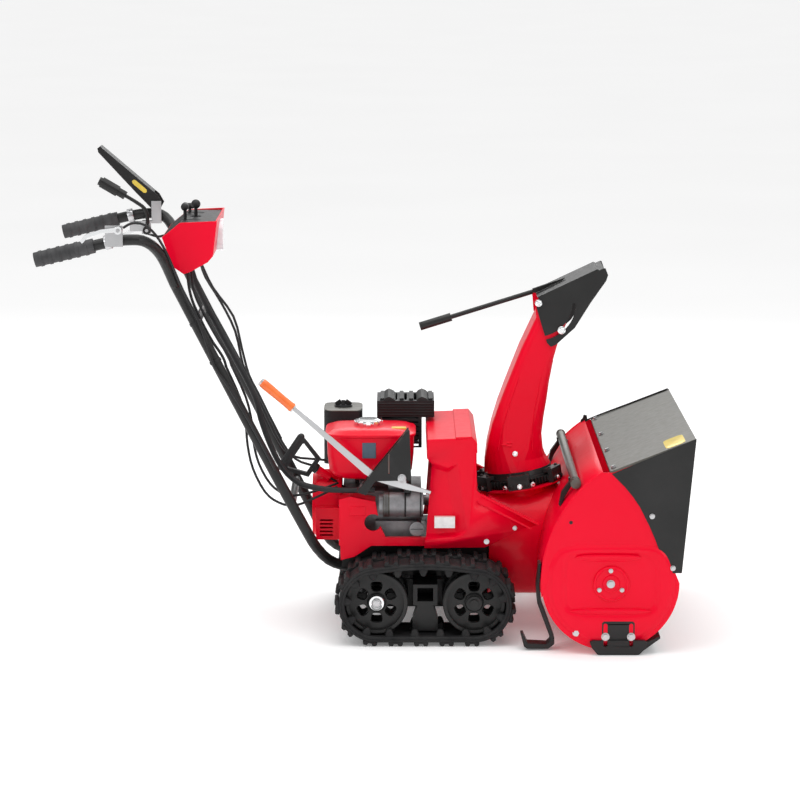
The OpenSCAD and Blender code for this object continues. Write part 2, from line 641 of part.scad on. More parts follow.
module muffler() {
    color(grey) xcyl(36, [30, 122], 118, 446);
    color(grey) ycyl(12, 60, [150, 200], 446);
    color(black) difference() {
        union() {
            box([22, 130], [52, 186], [408, 522]);
            box([100, 160], [52, 186], [482, 522]);
        }
        box([26, 126], [56, 182], [400, 514]);
        box([100, 156], [56, 182], [486, 514]);
        for (k = [0 : 10]) box([30 + 11.6 * k, 36 + 11.6 * k], [70, 168], [500, 530]);
        for (k = [0 : 6]) box([34, 122], [40, 60], [478 - 11 * k, 483 - 11 * k]);
        for (k = [0 : 6]) box([10, 28], [66, 172], [478 - 11 * k, 483 - 11 * k]);
    }
    color(black) for (k = [0 : 5]) box([30 + 23.2 * k, 40 + 23.2 * k], [60, 178], [520, 527]);
}
module starter_motor() {
    color(grey) xcyl(29, [49, 132], -150, 309);
    color(steel) xcyl(30, [38, 49], -150, 309);
    color(steel) xcyl(24, [28, 38], -150, 309);
    color(black) box([56, 126], [-125, -95.5], [290, 328]);
    color(black) xcyl(14, [50, 84], -112, 346);
    color(grey) translate([117, -118, 250]) rotate([90, 0, 0]) difference() {
        union() {
            cylinder(h = 26, r = 12);
            translate([0, 0, 22]) cylinder(h = 13, r = 17);
        }
        translate([-14, -2, 31]) cube([28, 4, 10]);
    }
}
module front_cover() color(red) difference() {
    side([[134, 214], [150, 416], [140, 428], [140, 472], [246, 476], [256, 462], [257, 352], [268, 341], [402, 270],
        [360, 258], [276, 216]], [-200, 200]);
    side([[120, 200], [140, 380], [146, 416], [136, 420], [136, 468], [244, 472], [252, 460], [253, 351], [266, 337],
        [420, 262], [420, 200], [280, 190]], [-197, 197]);
    box([256.8, 420], [-197, 197], [200, 480]);
}

// ---------- handles and controls ----------
// The right handle tube's route, from the end under the grip to the end bolted in the frame.
handle_route = [[-750, -300, 904.5], [-690, -300, 919], [-615, -300, 937.13], [-600, -300, 940.75], [-562, -300, 948], [-530, -299, 950],
    [-508, -290, 947], [-489, -268, 934], [-472, -238, 910], [-458, -208, 876], [-444, -184, 836], [-424, -172, 794],
    [-307, -170, 564], [-210, -168, 376], [-142, -160, 246], [-118, -139, 201], [-92, -112, 168], [-62, -98.5, 152.5],
    [-30, -97, 150], [60, -97, 150]];
module handle_tubes() color(black) {
    both() tube(smooth(handle_route, 2), handle_r, 16);
    ycyl(9, -396, [-162, 162], 740);
    ycyl(9, -176, [-158, 158], 311);
}
module handle_grips() color("#2b2b2d") both()
    translate([-750, -300, 904.5]) rotate([0, 90 - handle_slope, 0]) difference() {
        union() {
            translate([0, 0, -2]) cylinder(h = 139, r = grip_r);
            for (k = [0 : 5]) translate([0, 0, 10 + 21 * k]) cylinder(h = 7, r = grip_r + 1.5);
        }
        cylinder(h = 150, r = handle_r);
    }
module console_box() color(red) difference() {
    side([[-474, 940], [-432, 974], [-346, 978], [-356, 896], [-368, 882], [-408, 860], [-424, 854], [-450, 872]],
        [-160, 160]);
    side([[-478, 946], [-432, 980], [-350, 990], [-350, 973], [-360, 898], [-370, 886], [-410, 865], [-422, 859],
        [-446, 876], [-470, 938]], [-156, 156]);
    xcyl(38, [-380, -340], 0, 930);
}
module console_panel() color(black) difference() {
    side([[-473, 941], [-432, 973.5], [-352, 973], [-352, 970], [-431, 970.5], [-470, 938.5]], [-155.5, 155.5]);
    for (y = [-80, 80]) box([-470, -390], [y - 5, y + 5], [930, 990]);
    zcyl(14, -405, 0, [960, 980]);
}
module headlamp() color("#e8eef2") difference() {
    xcyl(37.5, [-372, -340], 0, 930);
    xcyl(32, [-376, -346], 0, 930);
}
module lever_brackets() color(steel) {
    both() translate([-592, grip_y, 942.69]) rotate([0, 90 - handle_slope, 0]) difference() {
        cylinder(h = 14, r = 17);
        translate([0, 0, -1]) cylinder(h = 16, r = handle_r + 0.6);
    }
    mirror([0, 1, 0]) {
        box([-590, -550], [grip_y + 13.8, grip_y + 19], [936, 984]);
        ycyl(4, steer_x, [grip_y + 18, grip_y + 32], steer_z);
    }
    for (y = [grip_y - 8, grip_y + 6]) box([-588, -550], [y, y + 2], [906, 930]);
    ycyl(4, steer_x, [grip_y - 7, grip_y + 7], 916);
    ycyl(5, clutch_x, [grip_y - 29, grip_y + 26], clutch_z);
    box([clutch_x - 12, clutch_x + 12], [grip_y - 32, grip_y - 28], [929, clutch_z + 12]);
    box([clutch_x - 12, clutch_x + 12], [grip_y - 32, grip_y], [928, 932]);
    box([height_x - 13, height_x + 15], [264, 291], [929.5, 934]);
    box([height_x - 13, height_x + 10], [263.5, 267.5], [height_z - 10, 934.5]);
    ycyl(4, height_x, [height_y - 6, 265.5], height_z);
    for (y = [-80, 80]) ycyl(3.5, -425, [y - 15, y + 15], 935);
    for (y = [-80, 80], s = [-1, 1]) box([-432, -418], [y + 12 * s - 2, y + 12 * s + 2], [924, 969.4]);
    for (s = [-1, 1]) box([-412, -398], [15 * s - 1.5, 15 * s + 1.5], [924, 969.6]);
    ycyl(3, -405, [-18, 18], 935);
    box([-434, -396], [-95, 95], [922.6, 925.8]);
}
module lever_gate() color(black) {
    difference() {
        side([[96, 496], [100, 494], [104, 376], [20, 374], [-2, 341], [-24, 348]], [-204, -201]);
        box([50, 53], [-210, -200], [392, 440]);
        ycyl(4 + fit, lever_x, [-210, -190], lever_z);
    }
    difference() {
        side([[-24, 348], [96, 496], [98, 493.5], [-21.5, 346.5]], [-201.1, -168]);
        side([[-8, 360], [-16, 372], [76, 486], [86, 478]], [-198, -181]);
    }
    ycyl(4, lever_x, [-207, -181], lever_z);
    translate([lever_x, -204, lever_z]) rotate([90, 0, 0]) bolt_head(7);
    box([97, 103], [-203, -150.5], [382, 400]);
    box([97, 103], [-172, -150.5], [345, 384]);
    box([88, 104], [-172, -95.5], [341, 361]);
}
module side_lever() {
    color(steel) difference() {
        union() {
            side([[-182, 549], [-176, 555], [24, 388], [60, 376], [96, 366], [150, 348], [148, 342], [92, 352], [56, 362],
                [18, 374], [-6, 390]], [lever_y - 3, lever_y + 3]);
            ycyl(12, lever_x, [lever_y - 4, lever_y + 4], lever_z);
            box([74, 92], [lever_y - 3, lever_y + 3], [358, 381]);
        }
        ycyl(4.1, lever_x, [-220, -150], lever_z);
    }
    color("orange") tube([[-246, lever_y, 608], [-240, lever_y, 603], [-176, lever_y, 548], [-170, lever_y, 543]], 9.5, 16);
}
module clutch_local() translate([clutch_x, 0, clutch_z]) rotate([0, -clutch_rest, 0]) children();
module drive_clutch_lever() color(black) clutch_local() {
    difference() {
        for (y = [grip_y - 26.5, grip_y + 24]) side([[-13, 8], [-8, 13], [6, 13], [58, 8], [192, -8], [200, -14],
            [198, -22], [14, -22], [-8, -14]], [y, y + 2.5]);
        ycyl(5 + fit, 0, [grip_y - 30, grip_y + 30], 0);
    }
    box([26, 198], [grip_y - 24.1, grip_y + 24.1], [-22, -19.5]);
    box([192, 198], [grip_y - 24.1, grip_y + 24.1], [-19.6, -12]);
}
module height_lever() color(black) difference() {
    union() {
        ycyl(10, height_x, [height_y - 4, height_y + 4], height_z);
        tube(smooth([[-543, height_y, 916], [-541, height_y, 945], [-548, height_y, 966], [-572, height_y, 984],
            [-606, height_y, 1004]], 3), 4.5, 12);
        tube([[-594, height_y, 997], [-602, height_y, 1002], [-616, height_y, 1010], [-650, height_y, 1030],
            [-658, height_y, 1034]], 10.5, 16);
        tube([[-612, height_y, 1007.6], [-618, height_y, 1011], [-646, height_y, 1027.5], [-652, height_y, 1031]], 13.5, 16);
    }
    ycyl(4 + fit, height_x, [height_y - 10, height_y + 10], height_z);
}
module right_steering_lever() color(steel) mirror([0, 1, 0]) difference() {
    union() {
        ycyl(9, steer_x, [grip_y + 24, grip_y + 29], steer_z);
        side([[-552, 968], [-556, 982], [-600, 976], [-634, 964], [-646, 950], [-641, 944], [-630, 956],
            [-600, 967], [-566, 970]], [grip_y + 24, grip_y + 29]);
    }
    ycyl(4 + fit, steer_x, [300, 350], steer_z);
}
module left_steering_lever() color(steel) difference() {
    union() {
        ycyl(9, steer_x, [grip_y - 3, grip_y + 3], 916);
        side([[-552, 924], [-568, 922], [-600, 902], [-640, 884], [-652, 870], [-646, 864], [-634, 876],
            [-598, 892], [-566, 908], [-552, 908]], [grip_y - 3, grip_y + 3]);
    }
    ycyl(4 + fit, steer_x, [280, 320], 916);
}
module stem(x, y, z, r, top) difference() {
    union() {
        ycyl(8, x, [y - 4, y + 4], z);
        zcyl(r, x, y, [z + 4, top]);
    }
    ycyl(3.5 + fit, x, [y - 10, y + 10], z);
}
module speed_lever() color(black) {
    stem(-425, -80, 935, 4, 1000);
    hull() for (y = [-92, -68]) translate([-425, y, 1004]) sphere(r = 9, $fn = 24);
}
module throttle_lever() color(black) {
    stem(-425, 80, 935, 3.6, 986);
    hull() for (x = [-431, -419]) translate([x, 80, 990]) sphere(r = 7, $fn = 24);
}
module chute_joystick() color(black) difference() {
    union() {
        ycyl(7, -405, [-6, 6], 935);
        zcyl(4, -405, 0, [938, 996]);
        translate([-405, 0, 1002]) sphere(r = 11);
    }
    ycyl(3 + fit, -405, [-10, 10], 935);
}

// ---------- cords that the machine holds all the way ----------
right_cable = [[-548, -328, 980], [-528, -322, 990], [-502, -306, 985], [-478, -276, 958], [-458, -240, 915],
    [-443, -212, 872], [-424, -196, 822], [-392, -192, 757], [-372, -191, 700], [-352, -191, 640], [-318, -190, 590],
    [-262, -190, 492], [-214, -190, 398]];
left_cable = [[-546, 300, 900], [-520, 300, 892], [-500, 296, 896], [-482, 282, 896], [-462, 252, 880],
    [-446, 216, 850], [-424, 196, 810], [-392, 192, 745], [-350, 191, 668], [-262, 190, 500], [-214, 190, 405]];
loop_outer = [[-330, -150, 640], [-296, -148, 560], [-284, -146, 500], [-280, -146, 450], [-268, -146, 394],
    [-240, -146, 338], [-208, -144, 312], [-170, -140, 304], [-120, -132, 322], [-70, -118, 345]];
loop_inner = [[-318, -136, 640], [-284, -134, 562], [-270, -132, 500], [-266, -132, 450], [-254, -132, 402],
    [-228, -130, 354], [-196, -128, 330], [-160, -124, 326], [-110, -116, 338], [-68, -106, 352]];
console_cable_a = [[-400, 60, 858], [-388, 64, 820], [-352, 66, 760], [-318, 62, 690], [-300, 58, 610], [-276, 50, 562],
    [-250, 42, 500], [-214, 44, 424], [-180, 47, 388], [-120, 48, 380], [-70, 48, 374], [-36, 48, 367]];
console_cable_b = [[-394, 20, 856], [-368, 24, 800], [-320, 28, 730], [-300, 30, 650], [-284, 26, 590], [-262, 14, 548],
    [-238, 6, 500], [-204, 0, 430], [-172, -4, 390], [-134, -8, 376]];
harness_route = [[-414, -60, 858], [-398, -66, 812], [-352, -84, 722], [-300, -100, 630], [-262, -112, 556],
    [-250, -116, 508], [-228, -120, 446], [-200, -124, 392], [-160, -130, 356], [-104, -142, 344], [-60, -152, 343],
    [-20, -157, 344], [18, -157, 345]];
module control_cables() color("#202022") {
    for (route = [right_cable, left_cable, loop_outer, loop_inner, console_cable_a, console_cable_b])
        tube(smooth(route, 3), 3.2, 8);
    tube(smooth(harness_route, 3), 7, 10);
}

// ---------- recoil handle, stick and fasteners ----------
module recoil_handle() color(black) translate(rope) rotate([0, pull_a - 90, 0]) {
    rotate([90, 0, 90]) translate([0, 0, -4]) cylinder(h = 12, r = 12);
    difference() {
        union() {
            side([[4, -26], [72, -48], [78, -44], [78, 44], [72, 48], [4, 26]], [-8, 8]);
            for (z = [-44, 44]) translate([72, 0, z]) sphere(r = 8);
            zcyl(9, 72, 0, [-44, 44]);
        }
        side([[14, -20], [58, -35], [60, -32], [60, 32], [58, 35], [14, 20]], [-30, 30]);
    }
    xcyl(2.5, [-285, 0], 0, 0);
}
module clean_out_stick() {
    color(grey) ycyl(10, stick_x, [-299, 330], stick_z);
    color(black) ycyl(11.5, stick_x, [-330, -299], stick_z);
    color(black) for (y = [-322, -312, -302]) ycyl(12.5, stick_x, [y - 2, y + 2], stick_z);
    color(black) ycyl(11.5, stick_x, [330, 340], stick_z);
}
module stick_clips() color(black) both() difference() {
    union() {
        ycyl(14, stick_x, [258, 276], stick_z);
        side([[444, 332], [450, 328], [458, 350], [476, 382], [470, 390], [450, 362]], [258, 276]);
    }
    ycyl(10.3, stick_x, [250, 280], stick_z);
    translate([stick_x, 0, stick_z]) rotate([0, -stick_lift, 0]) box([0.5, 30], [250, 285], [-30, 30]);
    housing_fill([200, 300]);
}
// Fasteners in the side plates, guards and chute, all standing on outer faces.
module body_bolts() color(steel) {
    both() {
        for (p = [[653, 323], [702, 202]]) translate([p[0], plate_out + 2.2, p[1]]) rotate([-90, 0, 0]) bolt_head(6);
        for (a = [90, 210, 330]) translate([auger_x + 30 * cos(a), plate_out + 3.1, auger_z + 30 * sin(a)])
            rotate([-90, 0, 0]) bolt_head(5);
        translate([auger_x, plate_out + 7.1, auger_z]) rotate([-90, 0, 0]) bolt_head(9);
        for (x = [549, 608]) translate([x, plate_out + 6.1, 42]) rotate([-90, 0, 0]) bolt_head(9);
        translate([482, plate_out + 0.1, 50]) rotate([-90, 0, 0]) bolt_head(8);
        translate([280, 200.1, 230]) rotate([-90, 0, 0]) bolt_head(6);
    }
    for (y = [-330, -110, 110, 330]) translate([566, y, 430.4]) rotate([0, -21.3, 0]) bolt_head(6);
}
module clamp_bolts() color(steel) both() {
    ycyl(4, hinge_x + slot_r * cos(slot_rest), [chute_half - 6, chute_half + 8], hinge_z + slot_r * sin(slot_rest));
    translate([hinge_x + slot_r * cos(slot_rest), chute_half + 5, hinge_z + slot_r * sin(slot_rest)])
        rotate([-90, 0, 0]) bolt_head(8);
    ycyl(4, hinge_x, [chute_half - 2, chute_half + 6], hinge_z);
    translate([hinge_x, chute_half + 5, hinge_z]) rotate([-90, 0, 0]) bolt_head(6);
    side([[395, 776], [397, 783], [403, 785], [409, 783], [424, 755], [424, 735], [398, 738]],
        [chute_half - 0.6, chute_half + 1.6]);
}

main_frame();
transmission();
hst_pulley();
auger_housing();
side_plates();
top_guard();
side_guards();
scraper_blade();
skid_shoes();
blower_housing();
auger_gearbox();
chute_retainers();
chute_motor();
stick_clips();
crankcase();
fan_cover();
engine_shroud();
fuel_tank();
air_cleaner();
muffler();
starter_motor();
front_cover();
drive_belts();
handle_tubes();
handle_grips();
console_box();
console_panel();
headlamp();
lever_gate();
lever_brackets();
control_cables();
body_bolts();
track_frame();
mirror([0, 1, 0]) track();  // right_track
track();  // left_track
mirror([0, 1, 0]) drive_wheel();  // right_drive_wheel
drive_wheel();  // left_drive_wheel
mirror([0, 1, 0]) idler_wheel();  // right_idler_wheel
idler_wheel();  // left_idler_wheel
auger_shaft();
auger_flights();
impeller();
impeller_shaft();
crank_pulley();
union() { chute(); clamp_bolts(); }
chute_ring();
chute_pinion();
deflector();
deflector_lever();
drive_clutch_lever();
height_lever();
right_steering_lever();
left_steering_lever();
speed_lever();
throttle_lever();
chute_joystick();
side_lever();
recoil_handle();
clean_out_stick();
fuel_cap();
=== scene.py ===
"""Looks of a two stage snowblower on rubber tracks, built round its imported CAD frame.

+X is forward, towards the auger, +Y is the operator's left, +Z is up, and lengths are in metres.
"""
import json
import math

import bmesh
import bpy
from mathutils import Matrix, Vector


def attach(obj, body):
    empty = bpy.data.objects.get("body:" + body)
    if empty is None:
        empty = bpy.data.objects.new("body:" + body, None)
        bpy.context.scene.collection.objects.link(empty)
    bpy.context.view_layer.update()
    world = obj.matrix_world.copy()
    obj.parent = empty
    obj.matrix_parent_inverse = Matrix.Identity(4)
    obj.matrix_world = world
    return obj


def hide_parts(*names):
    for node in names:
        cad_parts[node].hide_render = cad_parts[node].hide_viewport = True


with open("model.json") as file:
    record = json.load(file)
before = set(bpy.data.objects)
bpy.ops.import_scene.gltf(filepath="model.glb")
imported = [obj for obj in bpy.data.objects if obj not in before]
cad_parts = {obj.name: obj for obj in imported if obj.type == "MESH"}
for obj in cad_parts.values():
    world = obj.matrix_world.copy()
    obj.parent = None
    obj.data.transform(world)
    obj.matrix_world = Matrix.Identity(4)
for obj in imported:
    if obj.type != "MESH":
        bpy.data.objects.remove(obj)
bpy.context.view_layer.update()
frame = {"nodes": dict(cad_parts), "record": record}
scene = bpy.context.scene
nodes = frame["nodes"]


# ---------- camera ----------
CAMERA_TARGET = Vector((0.0775, 0.0, 0.5327))
CAMERA_DISTANCE = 7.27
CAMERA_ELEVATION = math.radians(9.3)
SENSOR = 36.0
LENS = 137.0


def make_camera():
    data = bpy.data.cameras.new("camera")
    data.sensor_width = SENSOR
    data.lens = LENS
    data.clip_end = 100
    camera = bpy.data.objects.new("camera", data)
    back = Vector((0, -math.cos(CAMERA_ELEVATION), math.sin(CAMERA_ELEVATION)))
    camera.location = CAMERA_TARGET + CAMERA_DISTANCE * back
    camera.rotation_euler = (math.pi / 2 - CAMERA_ELEVATION, 0, 0)
    scene.collection.objects.link(camera)
    scene.camera = camera


# ---------- materials ----------
class Shader:
    """A principled material whose node graph is built one call at a time."""

    def __init__(self, name, color, rough, metallic=0.0, coat=0.0):
        self.material = bpy.data.materials.new(name)
        self.material.use_nodes = True
        self.tree = self.material.node_tree
        self.main = self.tree.nodes["Principled BSDF"]
        self.main.inputs["Base Color"].default_value = (*color, 1)
        self.main.inputs["Roughness"].default_value = rough
        self.main.inputs["Metallic"].default_value = metallic
        self.main.inputs["Coat Weight"].default_value = coat
        self.main.inputs["Coat Roughness"].default_value = 0.06
        self.where = self.add("ShaderNodeTexCoord").outputs["Object"]

    def add(self, kind, **inputs):
        node = self.tree.nodes.new(kind)
        for key, value in inputs.items():
            socket = node.inputs[key.replace("_", " ").title() if key != "w" else "W"]
            if isinstance(value, bpy.types.NodeSocket):
                self.tree.links.new(value, socket)
            else:
                socket.default_value = value
        return node

    def link(self, output, name):
        self.tree.links.new(output, self.main.inputs[name])

    def stretched(self, scale):
        node = self.add("ShaderNodeMapping", vector=self.where)
        node.inputs["Scale"].default_value = scale
        return node.outputs["Vector"]

    def noise(self, scale, detail=4.0, rough=0.5, where=None):
        return self.add(
            "ShaderNodeTexNoise", vector=where or self.where, scale=scale, detail=detail, roughness=rough
        ).outputs["Fac"]

    def cells(self, scale, randomness=1.0):
        return self.add("ShaderNodeTexVoronoi", vector=self.where, scale=scale, randomness=randomness)

    def ramp(self, factor, low, high, start=0.0, end=1.0):
        node = self.add("ShaderNodeValToRGB", fac=factor)
        for element, place, color in zip(node.color_ramp.elements, (start, end), (low, high)):
            element.position = place
            element.color = (*color, 1) if len(color) == 3 else color
        return node.outputs["Color"]

    def spread(self, factor, low, high, start=0.0, end=1.0):
        node = self.add("ShaderNodeMapRange", value=factor)
        for key, value in (("From Min", start), ("From Max", end), ("To Min", low), ("To Max", high)):
            node.inputs[key].default_value = value
        return node.outputs["Result"]

    def mix(self, factor, low, high):
        node = self.add("ShaderNodeMix")
        node.data_type = "RGBA"
        for index, value in ((0, factor), (6, low), (7, high)):
            if isinstance(value, bpy.types.NodeSocket):
                self.tree.links.new(value, node.inputs[index])
            else:
                node.inputs[index].default_value = value if index == 0 else (*value, 1)
        return node.outputs[2]

    def bump(self, height, depth, strength=1.0):
        """Bump of a real depth in metres. Calls stack."""
        node = self.add("ShaderNodeBump", height=height, distance=depth, strength=strength)
        old = self.main.inputs["Normal"].links
        if old:
            self.tree.links.new(old[0].from_socket, node.inputs["Normal"])
        self.link(node.outputs["Normal"], "Normal")

    def edge(self, low, high):
        """A mask that is bright on outer edges, where paint wears."""
        point = self.add("ShaderNodeNewGeometry").outputs["Pointiness"]
        return self.spread(point, 0, 1, low, high)


def red_paint():
    look = Shader("red_paint", (0.8, 0.0, 0.02), 0.28, coat=0.1)
    look.main.inputs["Specular IOR Level"].default_value = 0.12
    look.link(look.ramp(look.noise(3, 2), (0.77, 0.0, 0.018), (0.83, 0.0, 0.024), 0.3, 0.7), "Base Color")
    look.link(look.spread(look.noise(60, 3), 0.26, 0.38), "Roughness")
    look.bump(look.noise(350, 1), 0.00006, 0.25)
    return look.material


def powder_black():
    color, rough = 0.012, 0.42
    look = Shader("black_powder_coat", (color,) * 3, rough, coat=0.1)
    look.main.inputs["Specular IOR Level"].default_value = 0.3
    wear = look.edge(0.56, 0.68)
    patchy = look.noise(40, 5, 0.65)
    base = look.ramp(look.noise(8, 3), (color * 0.8,) * 3, (color * 1.5,) * 3, 0.3, 0.7)
    worn = look.add("ShaderNodeMath", value=wear)
    worn.operation = "MULTIPLY"
    look.tree.links.new(patchy, worn.inputs[1])
    look.link(look.mix(worn.outputs[0], base, (0.07, 0.07, 0.072)), "Base Color")
    look.link(look.spread(look.noise(90, 4), rough - 0.08, rough + 0.1), "Roughness")
    look.bump(look.noise(900, 2), 0.00012, 0.5)
    return look.material


def moulded_black():
    look = Shader("moulded_black", (0.014, 0.014, 0.015), 0.5)
    look.main.inputs["Specular IOR Level"].default_value = 0.35
    mottle = look.noise(12, 3)
    look.link(look.ramp(mottle, (0.011, 0.011, 0.012), (0.02, 0.02, 0.021), 0.3, 0.7), "Base Color")
    look.link(look.spread(look.noise(120, 3), 0.42, 0.6), "Roughness")
    look.bump(look.cells(1400).outputs["Distance"], 0.0001, 0.35)
    return look.material


def track_rubber():
    look = Shader("track_rubber", (0.009, 0.009, 0.01), 0.68)
    look.main.inputs["Specular IOR Level"].default_value = 0.3
    dust = look.noise(22, 6, 0.7)
    look.link(look.ramp(dust, (0.006, 0.006, 0.007), (0.026, 0.025, 0.025), 0.35, 0.8), "Base Color")
    look.link(look.spread(look.noise(80, 3), 0.55, 0.8), "Roughness")
    look.bump(look.noise(420, 4, 0.6), 0.0003, 0.5)
    return look.material


def grip_rubber():
    look = Shader("grip_rubber", (0.035, 0.035, 0.037), 0.62)
    mottle = look.noise(30, 4)
    look.link(look.ramp(mottle, (0.028, 0.028, 0.03), (0.06, 0.06, 0.062), 0.3, 0.75), "Base Color")
    look.bump(look.cells(900, 0.4).outputs["Distance"], 0.0002, 0.5)
    return look.material


def belt_rubber():
    look = Shader("belt_rubber", (0.02, 0.02, 0.02), 0.75)
    look.link(look.ramp(look.noise(60, 4), (0.014,) * 3, (0.04,) * 3, 0.3, 0.8), "Base Color")
    look.bump(look.noise(500, 3), 0.0002, 0.5)
    return look.material


def galvanised():
    look = Shader("galvanised", (0.2, 0.195, 0.175), 0.38, metallic=0.85)
    spangle = look.cells(55)
    shade = look.spread(spangle.outputs["Distance"], 0, 1)
    look.link(look.mix(shade, (0.11, 0.107, 0.095), (0.145, 0.14, 0.125)), "Base Color")
    brushed = look.noise(160, 3, 0.6, look.stretched((0.15, 1, 1)))
    look.link(look.spread(brushed, 0.28, 0.5), "Roughness")
    look.bump(brushed, 0.00005, 0.35)
    return look.material


def bright_steel():
    look = Shader("bright_steel", (0.62, 0.63, 0.64), 0.28, metallic=1.0)
    look.link(look.ramp(look.noise(12, 2), (0.52, 0.52, 0.53), (0.6, 0.6, 0.61), 0.3, 0.7), "Base Color")
    look.link(look.spread(look.noise(60, 2), 0.27, 0.34), "Roughness")
    return look.material


def chrome():
    look = Shader("chrome", (0.86, 0.87, 0.88), 0.08, metallic=1.0)
    look.link(look.spread(look.noise(70, 3), 0.04, 0.14), "Roughness")
    return look.material


def cast_alloy():
    look = Shader("cast_alloy", (0.32, 0.32, 0.33), 0.5, metallic=0.75)
    mottle = look.noise(26, 5, 0.6)
    look.link(look.ramp(mottle, (0.20, 0.20, 0.21), (0.40, 0.40, 0.41), 0.3, 0.75), "Base Color")
    look.link(look.spread(look.noise(120, 3), 0.4, 0.62), "Roughness")
    look.bump(look.noise(700, 3), 0.0003, 0.5)
    return look.material


def cast_iron():
    look = Shader("cast_iron", (0.06, 0.06, 0.065), 0.6, metallic=0.6)
    mottle = look.noise(30, 5, 0.6)
    look.link(look.ramp(mottle, (0.04, 0.04, 0.043), (0.10, 0.098, 0.1), 0.3, 0.75), "Base Color")
    look.bump(look.noise(500, 4), 0.0004, 0.5)
    return look.material


def lamp_lens():
    look = Shader("lamp_lens", (0.80, 0.83, 0.86), 0.1, coat=1.0)
    look.bump(look.noise(90, 1, 0.5, look.stretched((1, 1, 0.05))), 0.0006, 0.5)
    look.main.inputs["Roughness"].default_value = 0.12
    return look.material


def orange_vinyl():
    look = Shader("orange_vinyl", (0.85, 0.16, 0.02), 0.38, coat=0.4)
    look.link(look.ramp(look.noise(20, 3), (0.80, 0.13, 0.015), (0.9, 0.2, 0.03), 0.3, 0.7), "Base Color")
    look.bump(look.noise(300, 2), 0.0001, 0.3)
    return look.material


def brass():
    look = Shader("brass", (0.62, 0.47, 0.18), 0.3, metallic=1.0)
    look.link(look.ramp(look.noise(60, 3), (0.5, 0.36, 0.13), (0.7, 0.55, 0.24), 0.3, 0.7), "Base Color")
    return look.material


def label(name, color):
    """A blank printed plate: satin film with a faint orange-peel texture."""
    look = Shader(name, color, 0.35, coat=0.3)
    dark = tuple(c * 0.86 for c in color)
    look.link(look.ramp(look.noise(70, 3), dark, color, 0.3, 0.6), "Base Color")
    look.bump(look.noise(600, 1), 0.00003, 0.3)
    return look.material


def pale_floor():
    look = Shader("pale_floor", (0.9, 0.9, 0.9), 0.85)
    look.main.inputs["Emission Color"].default_value = (1, 1, 1, 1)
    look.main.inputs["Emission Strength"].default_value = 0.15
    look.link(look.ramp(look.noise(0.8, 2), (0.9, 0.9, 0.9), (0.92, 0.92, 0.92), 0.3, 0.7), "Base Color")
    return look.material


PAINTS = {
    "red_paint": red_paint(),
    "black_paint": powder_black(),
    "black_plastic": moulded_black(),
    "track_rubber": track_rubber(),
    "grip_rubber": grip_rubber(),
    "belt_rubber": belt_rubber(),
    "galvanised": galvanised(),
    "bright_steel": bright_steel(),
    "chrome": chrome(),
    "cast_alloy": cast_alloy(),
    "cast_iron": cast_iron(),
    "lamp_lens": lamp_lens(),
    "orange_grip": orange_vinyl(),
    "brass": brass(),
    "white_label": label("white_label", (0.85, 0.85, 0.84)),
    "yellow_label": label("yellow_label", (0.82, 0.62, 0.08)),
    "blue_label": label("blue_label", (0.05, 0.09, 0.14)),
}


# ---------- shared shapes, in millimetres ----------
MM = 0.001
SMOOTH_ANGLE = math.radians(35)
BEVEL_ANGLE = math.radians(25)
PROFILE_SIDES = 40


def build(name, points, faces):
    """A mesh object from points in millimetres."""
    mesh = bpy.data.meshes.new(name)
    mesh.from_pydata([[c * MM for c in p] for p in points], [], faces)
    work = bmesh.new()
    work.from_mesh(mesh)
    bmesh.ops.recalc_face_normals(work, faces=work.faces)
    work.to_mesh(mesh)
    work.free()
    piece = bpy.data.objects.new(name, mesh)
    scene.collection.objects.link(piece)
    return piece


def dress(piece, paint, body, bevel=0.0, segments=3, sheet=0.0, replaced=()):
    """Gives a piece its material, its rounded edges and the body that it rides on."""
    piece.data.materials.clear()
    piece.data.materials.append(PAINTS[paint])
    if piece.type == "MESH":
        piece.data.shade_smooth()
        piece.data.set_sharp_from_angle(angle=SMOOTH_ANGLE)
    if bevel:
        rounding = piece.modifiers.new("bevel", "BEVEL")
        rounding.width = bevel * MM
        rounding.segments = segments
        rounding.limit_method = "ANGLE"
        rounding.angle_limit = BEVEL_ANGLE
        rounding.harden_normals = True
    if sheet:
        wall = piece.modifiers.new("sheet", "SOLIDIFY")
        wall.thickness = sheet * MM
        wall.offset = -1
    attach(piece, body)
    for node in replaced:
        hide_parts(node)
    return piece


def prism(name, outline, y0, y1):
    """An XZ outline drawn out between two places across the machine."""
    n = len(outline)
    points = [(x, y, z) for y in (y0, y1) for x, z in outline]
    walls = [(k, (k + 1) % n, n + (k + 1) % n, n + k) for k in range(n)]
    return build(name, points, walls + [tuple(range(n)), tuple(range(2 * n - 1, n - 1, -1))])


def slab(name, x, y, z):
    """A box between two corners, meant to be rounded by its bevel."""
    return prism(name, [(x[0], z[0]), (x[1], z[0]), (x[1], z[1]), (x[0], z[1])], *y)


def arc(center, radius, start, end, steps):
    """Points of an arc in the XZ plane; directions in degrees, 0 forward and 90 up."""
    turns = [math.radians(start + (end - start) * k / steps) for k in range(steps + 1)]
    return [(center[0] + radius * math.cos(t), center[1] + radius * math.sin(t)) for t in turns]


def rings_to_mesh(name, rings, closed=False):
    """Joins rings of equal length with quads, and caps both ends of an open row of rings."""
    n = len(rings[0])
    points = [p for ring in rings for p in ring]
    count = len(rings)
    faces = []
    for i in range(count if closed else count - 1):
        j = (i + 1) % count
        faces += [(i * n + k, i * n + (k + 1) % n, j * n + (k + 1) % n, j * n + k) for k in range(n)]
    if not closed:
        faces += [tuple(range(n)), tuple((count - 1) * n + k for k in range(n - 1, -1, -1))]
    return build(name, points, faces)


